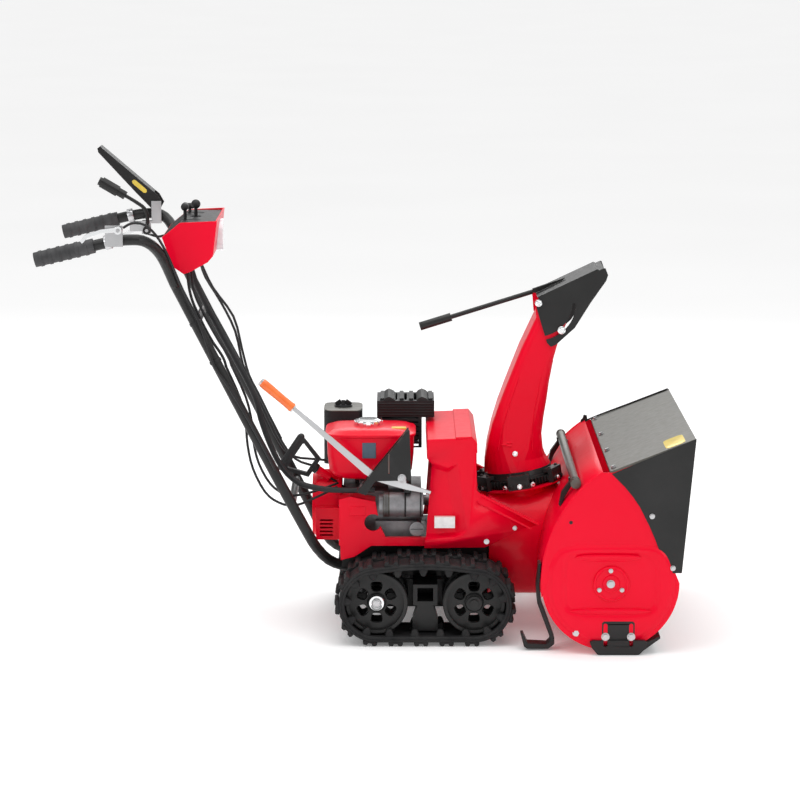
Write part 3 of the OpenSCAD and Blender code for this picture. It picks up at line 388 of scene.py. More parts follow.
AXES = {"X": ((0, 1, 0), (0, 0, 1), (1, 0, 0)), "Y": ((1, 0, 0), (0, 0, 1), (0, 1, 0)),
    "Z": ((1, 0, 0), (0, 1, 0), (0, 0, 1))}


def lathe(name, center, axis, profile, sides=PROFILE_SIDES):
    """Turns a profile of (along, radius) pairs about an axis through center."""
    across, upward, along = (Vector(v) for v in (AXES[axis] if isinstance(axis, str) else axis))
    middle = Vector(center)
    rings = []
    for place, radius in profile:
        turns = [math.tau * k / sides for k in range(sides)]
        rings.append([middle + along * place + radius * (across * math.cos(t) + upward * math.sin(t))
            for t in turns])
    return rings_to_mesh(name, rings)


def frame_about(direction):
    """Two directions across a given one, and that one."""
    along = Vector(direction).normalized()
    across = along.orthogonal().normalized()
    return across, along.cross(across), along


def wire(name, route, radius):
    """A round tube along a smooth curve through the route's points."""
    curve = bpy.data.curves.new(name, "CURVE")
    curve.dimensions = "3D"
    curve.bevel_depth = radius * MM
    curve.bevel_resolution = 6
    curve.resolution_u = 10
    curve.use_fill_caps = True
    spline = curve.splines.new("BEZIER")
    spline.bezier_points.add(len(route) - 1)
    for knot, place in zip(spline.bezier_points, route):
        knot.co = Vector(place) * MM
        knot.handle_left_type = knot.handle_right_type = "AUTO"
    piece = bpy.data.objects.new(name, curve)
    scene.collection.objects.link(piece)
    return piece


def joined(name, pieces):
    """Joins finished pieces of one material into one mesh."""
    depsgraph = bpy.context.evaluated_depsgraph_get()
    work = bmesh.new()
    for piece in pieces:
        mesh = bpy.data.meshes.new_from_object(piece.evaluated_get(depsgraph))
        mesh.transform(piece.matrix_world)
        work.from_mesh(mesh)
    whole = bpy.data.meshes.new(name)
    work.to_mesh(whole)
    work.free()
    for piece in pieces:
        bpy.data.objects.remove(piece)
    result = bpy.data.objects.new(name, whole)
    scene.collection.objects.link(result)
    return result


def bolt(name, place, direction, size, body, paint="bright_steel"):
    """A hexagon flange bolt with a slightly domed head."""
    across, upward, along = frame_about(direction)
    middle = Vector(place)

    def ring(height, radius, sides):
        turns = [math.tau * k / 24 for k in range(24)]
        reach = [radius / math.cos((t % (math.tau / 6)) - math.pi / 6) if sides == 6 else radius
            for t in turns]
        return [middle + along * height + r * (across * math.cos(t) + upward * math.sin(t))
            for r, t in zip(reach, turns)]

    rings = [ring(-0.5, size * 1.12, 24), ring(size * 0.12, size * 1.12, 24),
        ring(size * 0.2, size * 1.02, 24)]
    rings += [ring(size * 0.22, size * 0.76, 6), ring(size * 0.62, size * 0.76, 6),
        ring(size * 0.72, size * 0.64, 24)]
    rings += [ring(size * 0.72, size * 0.4, 24), ring(size * 0.64, size * 0.36, 24)]
    return dress(rings_to_mesh(name, rings), paint, body, bevel=0.25, segments=2)


def box_reach(half_x, half_y, power):
    """How far a rounded rectangle, as a superellipse, reaches in each direction."""
    return lambda t: (abs(math.cos(t) / half_x) ** power + abs(math.sin(t) / half_y) ** power) ** (-1 / power)


def squircle(half_x, half_y, power, sides=PROFILE_SIDES):
    """Points of a rounded rectangle, as a superellipse."""
    turns = [math.tau * (k + 0.5) / sides for k in range(sides)]
    reach = box_reach(half_x, half_y, power)
    return [(reach(t) * math.cos(t), reach(t) * math.sin(t)) for t in turns]


# ---------- CAD nodes that stay ----------
EDGE_ROUND = 0.0009
WELD_REACH = 0.00001


def finish_cad_nodes():
    """Gives each CAD node its material and slightly rounded edges."""
    for part in frame["record"]["subparts"]:
        node = nodes[part["node"]]
        node.data.materials.clear()
        node.data.materials.append(PAINTS[part["material_slot"]])
        weld = node.modifiers.new("weld", "WELD")
        weld.merge_threshold = WELD_REACH
        bevel = node.modifiers.new("bevel", "BEVEL")
        bevel.width = EDGE_ROUND
        bevel.segments = 2
        bevel.limit_method = "ANGLE"
        bevel.angle_limit = SMOOTH_ANGLE


# ---------- tracks and wheels ----------
AXLE_X, AXLE_Z, WHEELBASE = 23, 97, 227
IDLER_X = AXLE_X + WHEELBASE
BELT_R, BELT_T, TREAD_H, TREADS = 88, 14, 9, 17
TRACK_IN, TRACK_W = 140, 150
TRACK_MID = TRACK_IN + TRACK_W / 2
TRACK_BOW = 10
WHEEL_R = 73
GUIDE_ACROSS = 11
BELT_STEPS = 150
TREAD_FLOOR = -0.3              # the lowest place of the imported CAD


def round_axle(x, radius, turn):
    """A place on a circle about an axle, with its direction in degrees."""
    t = math.radians(turn)
    return x + radius * math.cos(t), AXLE_Z + radius * math.sin(t), turn


def loop_point(share, radius):
    """A point of the track's loop and its outward direction, a share of the way round."""
    half_turn = math.pi * BELT_R
    run = (share % 1) * (2 * WHEELBASE + 2 * half_turn)
    if run < WHEELBASE:
        return AXLE_X + run, AXLE_Z - radius, -90
    if run < WHEELBASE + half_turn:
        return round_axle(IDLER_X, radius, -90 + 180 * (run - WHEELBASE) / half_turn)
    if run < 2 * WHEELBASE + half_turn:
        x = IDLER_X - (run - WHEELBASE - half_turn)
        part = (x - AXLE_X) / WHEELBASE
        return x, AXLE_Z + radius + TRACK_BOW * 4 * part * (1 - part), 90
    return round_axle(AXLE_X, radius, 90 + 180 * (run - 2 * WHEELBASE - half_turn) / half_turn)


def on_track(share, side, along, across, out):
    """A place on the belt: along and out from a point of the loop, across from the track's inner face."""
    x, z, turn = loop_point(share, BELT_R)
    t = math.radians(turn)
    height = max(z + along * math.cos(t) + out * math.sin(t), TREAD_FLOOR)
    return x - along * math.sin(t) + out * math.cos(t), side * (TRACK_IN + across), height


def track_belt(side):
    """The belt's section carries a raised rim at each edge and a thin cord line on its side."""
    edge = [(2, 0), (0, -2), (0, -5), (1, -5.8), (1, -7), (0, -7.8), (0, 2 - BELT_T), (2, -BELT_T),
        (16, -BELT_T), (20, 3 - BELT_T)]
    far_edge = [(TRACK_W - across, out) for across, out in edge]
    section = edge[:1] + far_edge + edge[:0:-1]
    rings = [[on_track(k / BELT_STEPS, side, 0, across, out) for across, out in section]
        for k in range(BELT_STEPS)]
    return rings_to_mesh("belt", rings, closed=True)


def track_tread(side, share, start, width):
    """A cleat of two ridges on a low pad: half lengths of the pad and of a ridge's foot and top."""
    pad, low, ridge, foot, top = 17, 3.5, 10.5, 6.5, 4
    outline = [(-pad, -0.5), (-pad + 1.5, low), (-ridge - foot, low), (-ridge - top, TREAD_H),
        (-ridge + top, TREAD_H)]
    outline += [(-ridge + foot, low), (ridge - foot, low), (ridge - top, TREAD_H), (ridge + top, TREAD_H)]
    outline += [(ridge + foot, low), (pad - 1.5, low), (pad, -0.5)]
    rings = [[on_track(share, side, along, start + inset, min(out, cap)) for along, out in outline]
        for inset, cap in ((0, 6), (2, TREAD_H), (width - 2, TREAD_H), (width, 6))]
    return rings_to_mesh("tread", rings)


def belt_tooth(side, share, across, half_width):
    """A rounded tooth on the inside of the belt."""
    steps = [(0, 12, 1), (-8, 9.5, 0.9), (-15, 6.5, 0.75), (-18, 4, 0.55)]
    rings = [[on_track(share, side, a, across + b, 2 - BELT_T + drop)
        for a, b in squircle(length, half_width * narrow, 3, 16)] for drop, length, narrow in steps]
    return rings_to_mesh("tooth", rings)


def make_track(side, name):
    pieces = [track_belt(side)]
    half = TRACK_W / 2
    for k in range(TREADS):
        pieces.append(track_tread(side, (k + 0.25) / TREADS, 1, half - 3))
        pieces.append(track_tread(side, (k + 0.75) / TREADS, half + 2, half - 3))
        pieces.append(belt_tooth(side, (k + 0.5) / TREADS, half, 9))
        for across in (GUIDE_ACROSS, TRACK_W - GUIDE_ACROSS):
            pieces.append(belt_tooth(side, (k + 0.5) / TREADS, across, 7.5))
    dress(joined(name + "_rubber", pieces), "track_rubber", "track_unit", bevel=0.8, segments=2,
        replaced=[name])


WINDOWS = 6
WINDOW_MID, WINDOW_HALF_DEPTH, WINDOW_HALF_WIDTH = 37, 10.5, 12
HUB_EDGE, RIM_EDGE = 20, WHEEL_R - 7
WINDOW_LIP = 1.6
DISC_AT = 38
RIM_LIP = 1.8
RIM_SIDES = 72


def sector_edge(t):
    """A place on the border of one window's sector of the disc, out from the axle and across."""
    turn = math.radians(180 / WINDOWS) * max(-1, min(1, 1.6 * math.sin(t)))
    share = max(-1, min(1, 2.6 * math.cos(t)))
    reach = (RIM_EDGE + HUB_EDGE) / 2 + (RIM_EDGE - HUB_EDGE) / 2 * share
    return reach * math.cos(turn), reach * math.sin(turn)


def window_edge(t):
    """A place on the edge of a window, which is a little wider towards the rim."""
    u = (abs(math.cos(t) / WINDOW_HALF_DEPTH) ** 4 + abs(math.sin(t) / WINDOW_HALF_WIDTH) ** 4) ** -0.25
    return WINDOW_MID + u * math.cos(t), u * math.sin(t) * (1 + 0.012 * u * math.cos(t))


def wheel_disc(name, x, face, inward):
    """A pressed disc with rounded windows, built as one sector round each window."""
    steps = 16
    points, faces = [], []
    for k in range(WINDOWS):
        middle = math.radians(360 * k / WINDOWS + 90)
        turns = [math.tau * i / steps for i in range(steps)]
        outer = [sector_edge(t) for t in turns]
        window = [window_edge(t) for t in turns]
        lip = [(a + WINDOW_LIP * math.cos(t), b + WINDOW_LIP * math.sin(t))
            for t, (a, b) in zip(turns, window)]
        base = len(points)
        for ring, depth in ((outer, 0), (lip, 0), (window, 3), (window, 10), (outer, 10)):
            for a, b in ring:
                turned_x = a * math.cos(middle) - b * math.sin(middle)
                turned_z = a * math.sin(middle) + b * math.cos(middle)
                points.append((x + turned_x, face + inward * depth, AXLE_Z + turned_z))
        for ring in range(4):
            for i in range(steps):
                j = (i + 1) % steps
                row = base + ring * steps
                faces.append((row + i, row + j, row + steps + j, row + steps + i))
    return build(name, points, faces)


def wheel_rim(x, middle, side, start, end):
    """One of the wheel's two steel bands, with its edges turned in; start is its outer edge."""
    lip = math.copysign(RIM_LIP, end - start)
    rim = [(start, WHEEL_R - 9), (start, WHEEL_R - 2), (start + lip, WHEEL_R)]
    rim += [(end - lip, WHEEL_R), (end, WHEEL_R - 2), (end, WHEEL_R - 9)]
    rim.append(((start + end) / 2, WHEEL_R - 8))
    turns = [math.tau * k / RIM_SIDES for k in range(RIM_SIDES)]
    rings = []
    for along, radius in rim:
        rings.append([(x + radius * math.cos(t), middle + side * along, AXLE_Z + radius * math.sin(t))
            for t in turns])
    return rings_to_mesh("rim", rings, closed=True)


def driven_hub(name, x, side):
    """The washer, bolt and half axle of a drive wheel."""
    center = (x, side * TRACK_MID, AXLE_Z)
    washer = [(46, 6), (46, 18), (49.5, 18.5), (51, 17), (50.5, 12), (49, 10), (49, 6)]
    dress(lathe(name + "_washer", center, "Y", [(side * a, r) for a, r in washer]), "chrome", name)
    axle = [(84, 11), (85, 12.4), (TRACK_MID + 46, 12.4)]
    axle = lathe(name + "_axle", (x, 0, AXLE_Z), "Y", [(side * a, r) for a, r in axle])
    dress(axle, "bright_steel", name)
    bolt(name + "_bolt", (x, side * (TRACK_MID + 50.5), AXLE_Z), (0, side, 0), 9, name)


def idler_bearing(name, x, side):
    profile = [(46, 6), (50, 6.4), (50, 9), (48.6, 9.6), (48.6, 14), (46, 15.4)]
    center = (x, side * TRACK_MID, AXLE_Z)
    dress(lathe(name + "_bearing", center, "Y", [(side * a, r) for a, r in profile]), "brass", name)


def make_wheel(name, x, side, driven):
    middle = side * TRACK_MID
    parts = [wheel_disc("disc", x, middle + side * DISC_AT, -side)]
    parts.append(wheel_disc("disc", x, middle - side * DISC_AT, side))
    for start, end in ((52, 20), (-20, -52)):
        parts.append(wheel_rim(x, middle, side, start, end))
    hub = [(46, 13), (46, 19), (43, 22), (20, 24), (-50, 24), (-50, 13)]
    parts.append(lathe("hub", (x, middle, AXLE_Z), "Y", [(side * a, r) for a, r in hub]))
    dress(joined(name + "_casting", parts), "black_paint", name, bevel=0.8, segments=2, replaced=[name])
    if driven:
        driven_hub(name, x, side)
    else:
        idler_bearing(name, x, side)


def make_running_gear():
    for side, hand in ((-1, "right"), (1, "left")):
        make_track(side, hand + "_track")
        make_wheel(hand + "_drive_wheel", AXLE_X, side, True)
        make_wheel(hand + "_idler_wheel", IDLER_X, side, False)


# ---------- auger housing ----------
HOUSING_HALF, SHEET = 357, 3
PRESSING_SIDES = 96
DRUM_X, DRUM_Z, DRUM_R = 560, 166, 158
BACK_R = 310
BACK_X = DRUM_X - DRUM_R + BACK_R
LIP_X, LIP_Z = 568, 424


def polar_ring(center, reach, height, side):
    """A ring on the outside of a side plate; reach gives its radius in each direction."""
    turns = [math.tau * k / PRESSING_SIDES for k in range(PRESSING_SIDES)]
    face = HOUSING_HALF + SHEET
    x, z = center
    return [(x + reach(t) * math.cos(t), side * (face + height), z + reach(t) * math.sin(t)) for t in turns]


def drum_reach(radius, top):
    """A circle cut off level at the top, with soft corners."""
    def reach(t):
        level = top / max(math.sin(t), 0.05)
        return (radius ** -10 + level ** -10) ** -0.1
    return reach


def side_plate(side, hand):
    top_turn = 180 - math.degrees(math.asin((LIP_Z - DRUM_Z) / BACK_R))
    outline = arc((BACK_X, DRUM_Z), BACK_R, top_turn, 180, 24)
    outline += arc((DRUM_X, DRUM_Z), DRUM_R, 180, 360, 60)[1:]
    outline += [(706, 195), (690, 240), (668, 298), (645, 344), (612, 391), (580, 418), (LIP_X, LIP_Z)]
    plate = prism(hand + "_side_plate", outline, side * HOUSING_HALF, side * (HOUSING_HALF + SHEET))
    dress(plate, "red_paint", "machine", bevel=1.1, segments=3, replaced=["side_plates"])
    center = (DRUM_X + 1, DRUM_Z)
    steps = [(drum_reach(148, 91), -0.4), (drum_reach(144, 88), 1.2), (drum_reach(138, 84), 4.8),
        (drum_reach(135, 81), 5.6)]
    steps += [(box_reach(114, 77, 6), 5.6), (box_reach(110, 74, 6), 4.8), (box_reach(103, 69, 6), 1.4),
        (box_reach(99, 66, 6), 0.8)]
    press = rings_to_mesh(hand + "_pressing",
        [polar_ring(center, reach, height, side) for reach, height in steps])
    dress(press, "red_paint", "machine")
    for place, x, z, half in (("upper", 554, 226, 74), ("lower", 561, 99, 96)):
        steps = [(half + 3, 9, 0, 0.6), (half, 7, 1.2, 3), (half - 4, 4, 3.4, 5.8),
            (half - 8, 1.6, 4.4, 6.4)]
        rings = [polar_ring((x, z + shift), box_reach(long, high, 3), rise, side)
            for long, high, shift, rise in steps]
        dress(rings_to_mesh(f"{hand}_{place}_rib", rings), "red_paint", "machine")
    face = side * (HOUSING_HALF + SHEET)
    holder = [(-12, 12.3), (-12, 26), (0, 26), (0, 41), (3.2, 41), (5.4, 40), (6, 38.5), (5.6, 36.5)]
    holder += [(3, 34), (2.6, 20), (5.6, 18.5), (6, 16), (5.4, 12.3)]
    boss = lathe(hand + "_bearing_holder", (DRUM_X + 1, face, DRUM_Z), "Y",
        [(side * a, r) for a, r in holder], 64)
    dress(boss, "red_paint", "machine")
    # The drain hole is drawn as a thin black disc on the plate: its black is painted shade standing in for
    # the dark inside of the hole.
    hole = [(side * 0.1, 4.2), (side * 0.35, 3.8), (side * 0.3, 0.8)]
    dress(lathe(hand + "_drain_hole_painted_shade", (468, face, 308), "Y", hole, 20), "black_plastic", "machine")
    rail = [(x, side * (HOUSING_HALF + 1.2), z)
        for x, z in arc((BACK_X, DRUM_Z), BACK_R + 0.6, top_turn, 186, 20)]
    dress(wire(hand + "_seam_bead", rail, 1.7), "red_paint", "machine")


# ---------- front cover over the belts ----------
COVER_HALF = 200
RECESS = 17


def front_cover():
    """The belt cover: a recessed panel on each side, closed on top and in front, with open wings below."""
    panel = [(140, 472), (246, 476), (256, 462), (257, 352), (268, 341), (402, 270), (360, 258), (276, 216)]
    panel += [(134, 214), (137, 236), (204, 238), (224, 244), (234, 258), (213, 414), (188, 404), (150, 416)]
    panel += [(140, 428)]
    deep = [(139, 244), (206, 248), (188, 392), (151, 404)]
    points, faces = [], []
    for side in (-1, 1):
        base = len(points)
        n = len(panel)
        points += [(x, side * COVER_HALF, z) for x, z in panel]
        points += [(x, side * (COVER_HALF - RECESS), z) for x, z in deep]
        low_back, low_fold, high_fold, high_back = (base + n + k for k in range(4))
        faces.append(tuple(base + k for k in range(n)))
        faces.append((low_back, low_fold, high_fold, high_back))
        faces.append((base + 9, base + 10, low_fold, low_back))
        faces.append((base + 10, base + 11, base + 12, low_fold))
        faces.append((base + 12, base + 13, high_fold, low_fold))
        faces.append((base + 13, base + 14, high_fold))
        faces.append((base + 14, base + 15, high_back, high_fold))
    left = len(panel) + len(deep)
    for a, b in ((16, 0), (0, 1), (1, 2), (2, 3)):
        faces.append((a, b, left + b, left + a))
    cover = build("front_cover_shell", points, faces)
    dress(cover, "red_paint", "machine", bevel=3.2, segments=4, sheet=2.5, replaced=["front_cover"])
    for side, hand in ((-1, "right"), (1, "left")):
        edge = [(266, 338), (268, 342), (403, 271), (400, 268)]
        flange = prism(hand + "_wing_flange", edge, side * (COVER_HALF + 0.8), side * (COVER_HALF - 16))
        dress(flange, "red_paint", "machine", bevel=1.2)
        step = [(258, 330), (264, 326), (386, 262), (382, 259), (262, 320), (256, 325)]
        bead = prism(hand + "_wing_bead", step, side * (COVER_HALF - 0.5), side * (COVER_HALF + 1.6))
        dress(bead, "red_paint", "machine", bevel=1.2)
        bolt(hand + "_wing_bolt", (346, side * (COVER_HALF + 0.2), 262), (0, side, 0), 5, "machine")
    cap = [(207, 473.6), (207, 477.6), (245, 479), (257.6, 463), (258, 440), (254, 440), (253, 462),
        (244, 474)]
    dress(prism("belt_cap", cap, -COVER_HALF - 0.6, COVER_HALF + 0.6), "red_paint", "machine", bevel=1.4)
    depth = (-COVER_HALF - 0.4, -COVER_HALF + RECESS - 0.6)
    plate = slab("blank_label_cover", (158, 206), depth, (262, 288))
    dress(plate, "white_label", "machine", bevel=0.3)


# ---------- engine ----------
TANK_X, TANK_Y = 8, -58
CLEANER_X, CLEANER_Y = -60, 125
STARTER_Y, STARTER_Z = -150, 309


def loft(name, levels):
    """Superellipse rings in level planes: (z, middle x, middle y, half x, half y, power)."""
    rings = [[(x + a, y + b, z) for a, b in squircle(half_x, half_y, power, 64)]
        for z, x, y, half_x, half_y, power in levels]
    return rings_to_mesh(name, rings)


def fuel_tank():
    x, y, neck_x = TANK_X, TANK_Y, 3
    levels = [(364, x, y, 76, 64, 4), (370, x, y, 88, 76, 5), (384, x, y, 98, 85, 5)]
    levels += [(420, x, y, 102, 88, 6), (465, x, y, 103, 89, 6), (467, x, y, 106, 92, 6)]
    levels += [(469, x, y, 107, 92.5, 6), (472, x, y, 107, 92.5, 6), (474, x, y, 105.5, 91, 6)]
    levels += [(475, x, y, 101, 87, 6), (480, x, y, 92, 78, 5), (483, x, y, 76, 62, 4)]
    levels += [(484, neck_x, y, 40, 38, 2), (484, neck_x, y, 32, 32, 2), (482, neck_x, y, 23, 23, 2)]
    levels += [(468, neck_x, y, 22.5, 22.5, 2)]
    dress(loft("fuel_tank_shell", levels), "red_paint", "machine", replaced=["fuel_tank"])
    side_label = slab("blank_label_tank", (-11, 21), (-148.2, -146), (418, 455))
    dress(side_label, "blue_label", "machine", bevel=0.8)
    top_label = slab("blank_label_tank_top", (58, 92), (-112, -92), (476, 484.6))
    dress(top_label, "yellow_label", "machine", bevel=0.8)


def air_cleaner_lid():
    steps = [(494, 46, 61), (495.6, 46.6, 61.6), (497, 45.6, 60.6), (497.4, 43, 58)]
    levels = [(z, CLEANER_X, CLEANER_Y, half_x, half_y, 6) for z, half_x, half_y in steps]
    dress(loft("air_cleaner_lid", levels), "galvanised", "machine")


def starter_end():
    """Cooling ribs round the silver end of the starter motor, and the bands round its barrel."""
    profile = [(-1, 20), (-1, 27), (0.5, 30)]
    for k in range(4):
        foot = 3.4 * k
        profile += [(1 + foot, 31.2), (2.4 + foot, 31.2), (2.9 + foot, 29.4), (3.9 + foot, 29.4)]
    profile += [(15, 29.2)]
    dress(lathe("starter_ribs", (38, STARTER_Y, STARTER_Z), "X", profile, 48), "galvanised", "machine")
    band = [(0, 29.1), (0.6, 30.4), (3.4, 30.4), (4, 29.1)]
    for k, x in enumerate((88, 124)):
        ring = lathe(f"starter_band_{k}", (x, STARTER_Y, STARTER_Z), "X", band, 48)
        dress(ring, "black_paint", "machine")


def lever_gate_details():
    bolt("gate_bolt", (82, -204.4, 381), (0, -1, 0), 9, "machine")
    strip = slab("gate_slot_strip", (50.2, 52.8), (-204.2, -202.6), (393, 439))
    dress(strip, "galvanised", "machine", bevel=0.4)
    for k in range(5):
        x, z = -6 + 22 * k, 370.5 + 27.1 * k
        outline = [(x, z), (x + 10, z + 12.3), (x + 14, z + 12), (x + 2, z - 4)]
        dress(prism(f"gate_notch_{k}", outline, -205, -201), "black_paint", "machine", bevel=0.7)


def side_lever_grip():
    """A vinyl sleeve over the end of the side lever, with a soft swell and a closed end."""
    foot, tip = Vector((-172, -190, 544.8)), Vector((-245, -190, 607))
    along = (tip - foot).normalized()
    axes = (Vector((0, 1, 0)), along.cross(Vector((0, 1, 0))), along)
    profile = [(0, 9.7), (0.5, 10.6), (3, 11.2), (8, 10.4), (30, 10), (60, 10.6), (84, 11), (92, 10.4),
        (96, 8), (97.5, 4)]
    dress(lathe("side_lever_grip", foot, axes, profile, 32), "orange_grip", "side_lever")


def muffler_guard():
    """Two domed bumps on top of the muffler's guard, and louvres on its right side."""
    for k, x in enumerate((36, 116)):
        outline = [(x, 521), (x + 6, 528), (x + 14, 532), (x + 24, 528), (x + 32, 521)]
        dress(prism(f"guard_bump_{k}", outline, 54, 184), "black_paint", "machine", bevel=1.5)
    for k in range(5):
        z = 487 + 6.6 * k
        louvre = slab(f"guard_louvre_{k}", (23, 158), (50, 53), (z, z + 3.4))
        dress(louvre, "black_paint", "machine", bevel=1.2)


# ---------- chute, guard and labels ----------
PLATE_OUT_Y = 81.5
HINGE_X, HINGE_Z = 403, 776
CLAMP_REACH, CLAMP_TURN = 84, math.radians(-49.5)
RING_PLACE = Vector((364, 0, 342))
RING_LEAN = math.radians(8.5)
RETAINER_R = 102.8


def deflector_bolts():
    for side, hand in ((-1, "right"), (1, "left")):
        hinge = (HINGE_X, side * PLATE_OUT_Y, HINGE_Z)
        bolt(hand + "_hinge_bolt", hinge, (0, side, 0), 7.5, "deflector", "chrome")
        clamp = (HINGE_X + CLAMP_REACH * math.cos(CLAMP_TURN), side * PLATE_OUT_Y,
            HINGE_Z + CLAMP_REACH * math.sin(CLAMP_TURN))
        bolt(hand + "_clamp_bolt", clamp, (0, side, 0), 8.5, "chute", "chrome")


def chute_side(z, share):
    """A place on the chute's right side, a share of the way from its middle towards its front edge."""
    spine = [(398, 352, 72.5, 77.5), (428, 351.5, 66.5, 75.5), (470, 355, 60, 74), (515, 364.5, 55.5, 73)]
    spine += [(558, 376, 51, 72), (602, 387.5, 45.5, 72), (648, 401, 41, 72), (694, 418, 37, 72)]
    for (z0, x0, d0, w0), (z1, x1, d1, w1) in zip(spine, spine[1:]):
        if z <= z1:
            t = (z - z0) / (z1 - z0)
            return x0 + t * (x1 - x0) + share * (d0 + t * (d1 - d0)), -(w0 + t * (w1 - w0))
    raise ValueError("a height above the chute's spine")


def chute_details():
    """A crease down each side, a slotted bolt and three raised marks near the foot."""
    for side, hand in ((1, "right"), (-1, "left")):
        for place, share in (("front", 0.6), ("back", -0.62)):
            route = []
            for k in range(9):
                z = 424 + 22 * k
                x, y = chute_side(z, share - (0.012 * k if share > 0 else 0))
                route.append((x, side * (y + 0.4), z))
            dress(wire(f"{hand}_{place}_crease", route, 1.4), "red_paint", "chute")
        x, y = chute_side(420, -0.02)
        bolt(hand + "_foot_bolt", (x, side * (y - 0.3), 416), (0, -side, 0), 6, "chute", "chrome")
        for k, (share, z) in enumerate(((-0.42, 437), (-0.25, 442), (-0.25, 434))):
            x, y = chute_side(z, share)
            rings = []
            for rise, inset in ((-0.5, 0), (0.9, 0.8), (1.5, 2)):
                rings.append([(x + u, side * (y - rise), z + v)
                    for u, v in squircle(8 - inset, 2.8 - inset, 3, 20)])
            dress(rings_to_mesh(f"{hand}_mark_{k}", rings), "red_paint", "chute")


def retainer_bolts():
    """Bolts round the outside of the ring's retainers."""
    for k, turn in enumerate((-150, -112, -92, -74, -28, 60, 150)):
        t = math.radians(turn)
        out = Vector((math.cos(t) * math.cos(RING_LEAN), math.sin(t), math.cos(t) * math.sin(RING_LEAN)))
        bolt(f"retainer_bolt_{k}", RING_PLACE + out * RETAINER_R, out, 5.5, "machine", "chrome")


def guard_edge():
    """A rolled black edge along the far side of the top guard, with the hook that holds it at the back."""
    edge = [(541, 354, 421.5), (558, 354, 429.3), (650, 354, 465.2), (748, 354, 503.4)]
    dress(wire("guard_far_edge", edge, 2), "black_paint", "machine")
    outline = [(532, 414), (548, 422), (546, 436), (538, 438), (535, 428), (530, 424)]
    dress(prism("guard_hook", outline, 350, 357), "black_paint", "machine", bevel=1.2)


def tilted_label(name, corner, first, second, size, paint, body):
    """A blank plate lying in the plane of two directions."""
    a, b = Vector(first).normalized(), Vector(second).normalized()
    up = a.cross(b)
    rings = []
    for lift, inset in ((-0.2, 0), (0.3, 0), (0.5, 0.5)):
        corners = []
        for u, v in squircle(size[0] / 2 - inset, size[1] / 2 - inset, 8, 32):
            corners.append(Vector(corner) + a * (size[0] / 2 + u) + b * (size[1] / 2 + v) + up * lift)
        rings.append(corners)
    dress(rings_to_mesh(name, rings), paint, body)


def blank_labels():
    slope = (192, 0, 75)
    tilted_label("blank_label_guard", (684, -350, 476.5), slope, (0, 1, 0), (48, 100), "yellow_label",
        "machine")
    turn = math.radians(139.5)
    along = (math.cos(turn), 0, math.sin(turn))
    down = (math.sin(turn), 0, -math.cos(turn))
    spot = Vector((-520, 273.3, 971)) + Vector(along) * 40 + Vector(down) * 4
    tilted_label("blank_label_drive_lever", spot, along, down, (44, 11), "yellow_label",
        "drive_clutch_lever")


def cable_tops():
    """The two looped cables carry on up beside the right tube and into the console's floor."""
    outer = [(-328, -150, 636), (-334, -151, 655), (-362, -152, 700), (-392, -153, 760),
        (-408, -150, 800), (-420, -124, 864)]
    inner = [(-316, -136, 636), (-322, -137, 655), (-348, -139, 700), (-380, -140, 760),
        (-402, -134, 810), (-412, -108, 864)]
    for name, route in (("loop_cable_outer_top", outer), ("loop_cable_inner_top", inner)):
        dress(wire(name, route, 3.3), "black_plastic", "machine")
    for k, z in enumerate((652, 742)):
        x = -307 - (z - 564) * 117 / 230
        axes = (Vector((0, 1, 0)), Vector((0.89, 0, 0.455)), Vector((-0.455, 0, 0.89)))
        band = [(-4, 12.4), (-4, 13.6), (-3, 14.4), (3, 14.4), (4, 13.6), (4, 12.4)]
        dress(lathe(f"cable_band_{k}", (x, -170.8, z), axes, band, 32), "black_plastic", "machine")


# ---------- studio ----------
SIDE_LIGHT, TOP_LIGHT, BACKDROP = 0.16, 1.1, 1.0
FLOOR_RADIUS, FLOOR_SIDES = 60.0, 64
FLOOR_DROP = 0.001


def area_light(name, place, aim, size, power):
    data = bpy.data.lights.new(name, "AREA")
    data.shape = "RECTANGLE"
    data.size, data.size_y = size
    data.energy = power
    light = bpy.data.objects.new(name, data)
    light.location = place
    light.rotation_euler = (Vector(aim) - Vector(place)).to_track_quat("-Z", "Y").to_euler()
    scene.collection.objects.link(light)


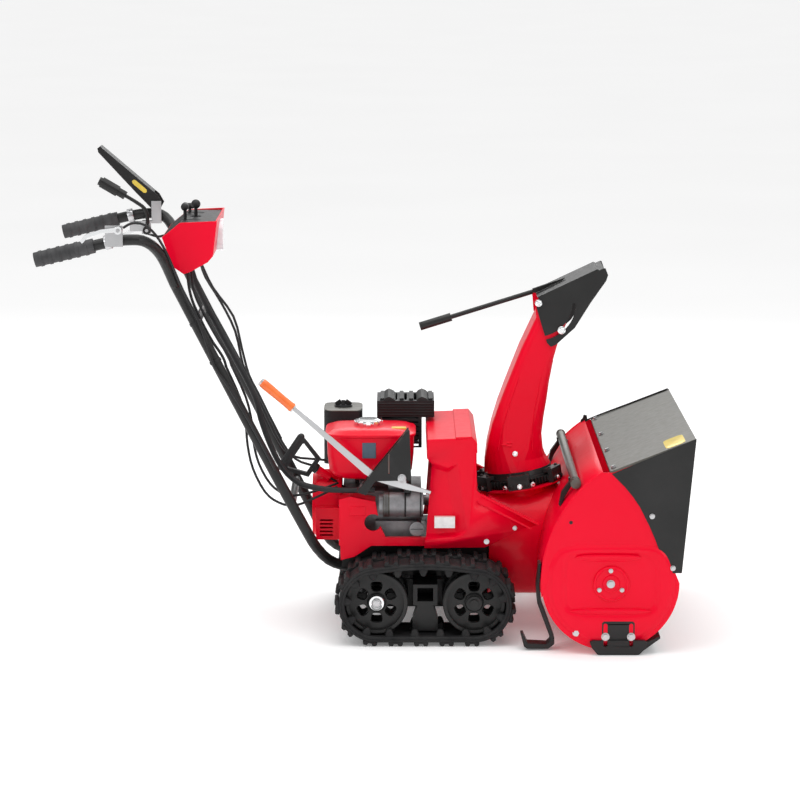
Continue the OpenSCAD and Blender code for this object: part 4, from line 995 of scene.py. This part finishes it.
def make_world():
    """Soft studio surroundings: bright overhead, darker at the sides, and a plain pale backdrop."""
    world = bpy.data.worlds.new("studio")
    world.use_nodes = True
    tree = world.node_tree
    lit = tree.nodes["Background"]
    where = tree.nodes.new("ShaderNodeTexCoord")
    split = tree.nodes.new("ShaderNodeSeparateXYZ")
    ramp = tree.nodes.new("ShaderNodeValToRGB")
    ramp.color_ramp.elements[0].position = 0.0
    ramp.color_ramp.elements[0].color = (SIDE_LIGHT, SIDE_LIGHT, SIDE_LIGHT, 1)
    ramp.color_ramp.elements[1].position = 0.9
    ramp.color_ramp.elements[1].color = (TOP_LIGHT, TOP_LIGHT, TOP_LIGHT, 1)
    backdrop = tree.nodes.new("ShaderNodeBackground")
    backdrop.inputs["Color"].default_value = (BACKDROP, BACKDROP, BACKDROP, 1)
    path = tree.nodes.new("ShaderNodeLightPath")
    either = tree.nodes.new("ShaderNodeMixShader")
    tree.links.new(where.outputs["Generated"], split.inputs["Vector"])
    tree.links.new(split.outputs["Z"], ramp.inputs["Fac"])
    tree.links.new(ramp.outputs["Color"], lit.inputs["Color"])
    tree.links.new(path.outputs["Is Camera Ray"], either.inputs["Fac"])
    tree.links.new(lit.outputs["Background"], either.inputs[1])
    tree.links.new(backdrop.outputs["Background"], either.inputs[2])
    tree.links.new(either.outputs["Shader"], tree.nodes["World Output"].inputs["Surface"])
    scene.world = world


def make_floor():
    mesh = bpy.data.meshes.new("floor")
    turns = [math.tau * k / FLOOR_SIDES for k in range(FLOOR_SIDES)]
    rim = [(FLOOR_RADIUS * math.cos(t), FLOOR_RADIUS * math.sin(t), 0) for t in turns]
    mesh.from_pydata(rim, [], [tuple(range(FLOOR_SIDES))])
    floor = bpy.data.objects.new("floor", mesh)
    floor.location.z = -FLOOR_DROP
    scene.collection.objects.link(floor)
    mesh.materials.append(pale_floor())


def make_studio():
    make_world()
    make_floor()
    scene.view_settings.view_transform = "Standard"
    area_light("top_softbox", (0.1, -0.3, 4.2), (0.1, 0, 0.4), (4.5, 3.5), 85)
    area_light("left_softbox", (-3.4, -3.6, 2.4), (0, 0, 0.5), (1.6, 2.4), 30)
    area_light("right_softbox", (3.6, -3.4, 2.2), (0.2, 0, 0.4), (1.2, 2.4), 30)
    area_light("rear_softbox", (0.6, 4.2, 2.6), (0.1, 0, 0.5), (3.0, 1.6), 36)


make_camera()
finish_cad_nodes()
make_running_gear()
side_plate(-1, "right")
side_plate(1, "left")
front_cover()
fuel_tank()
air_cleaner_lid()
starter_end()
lever_gate_details()
side_lever_grip()
muffler_guard()
deflector_bolts()
chute_details()
retainer_bolts()
guard_edge()
blank_labels()
cable_tops()
make_studio()
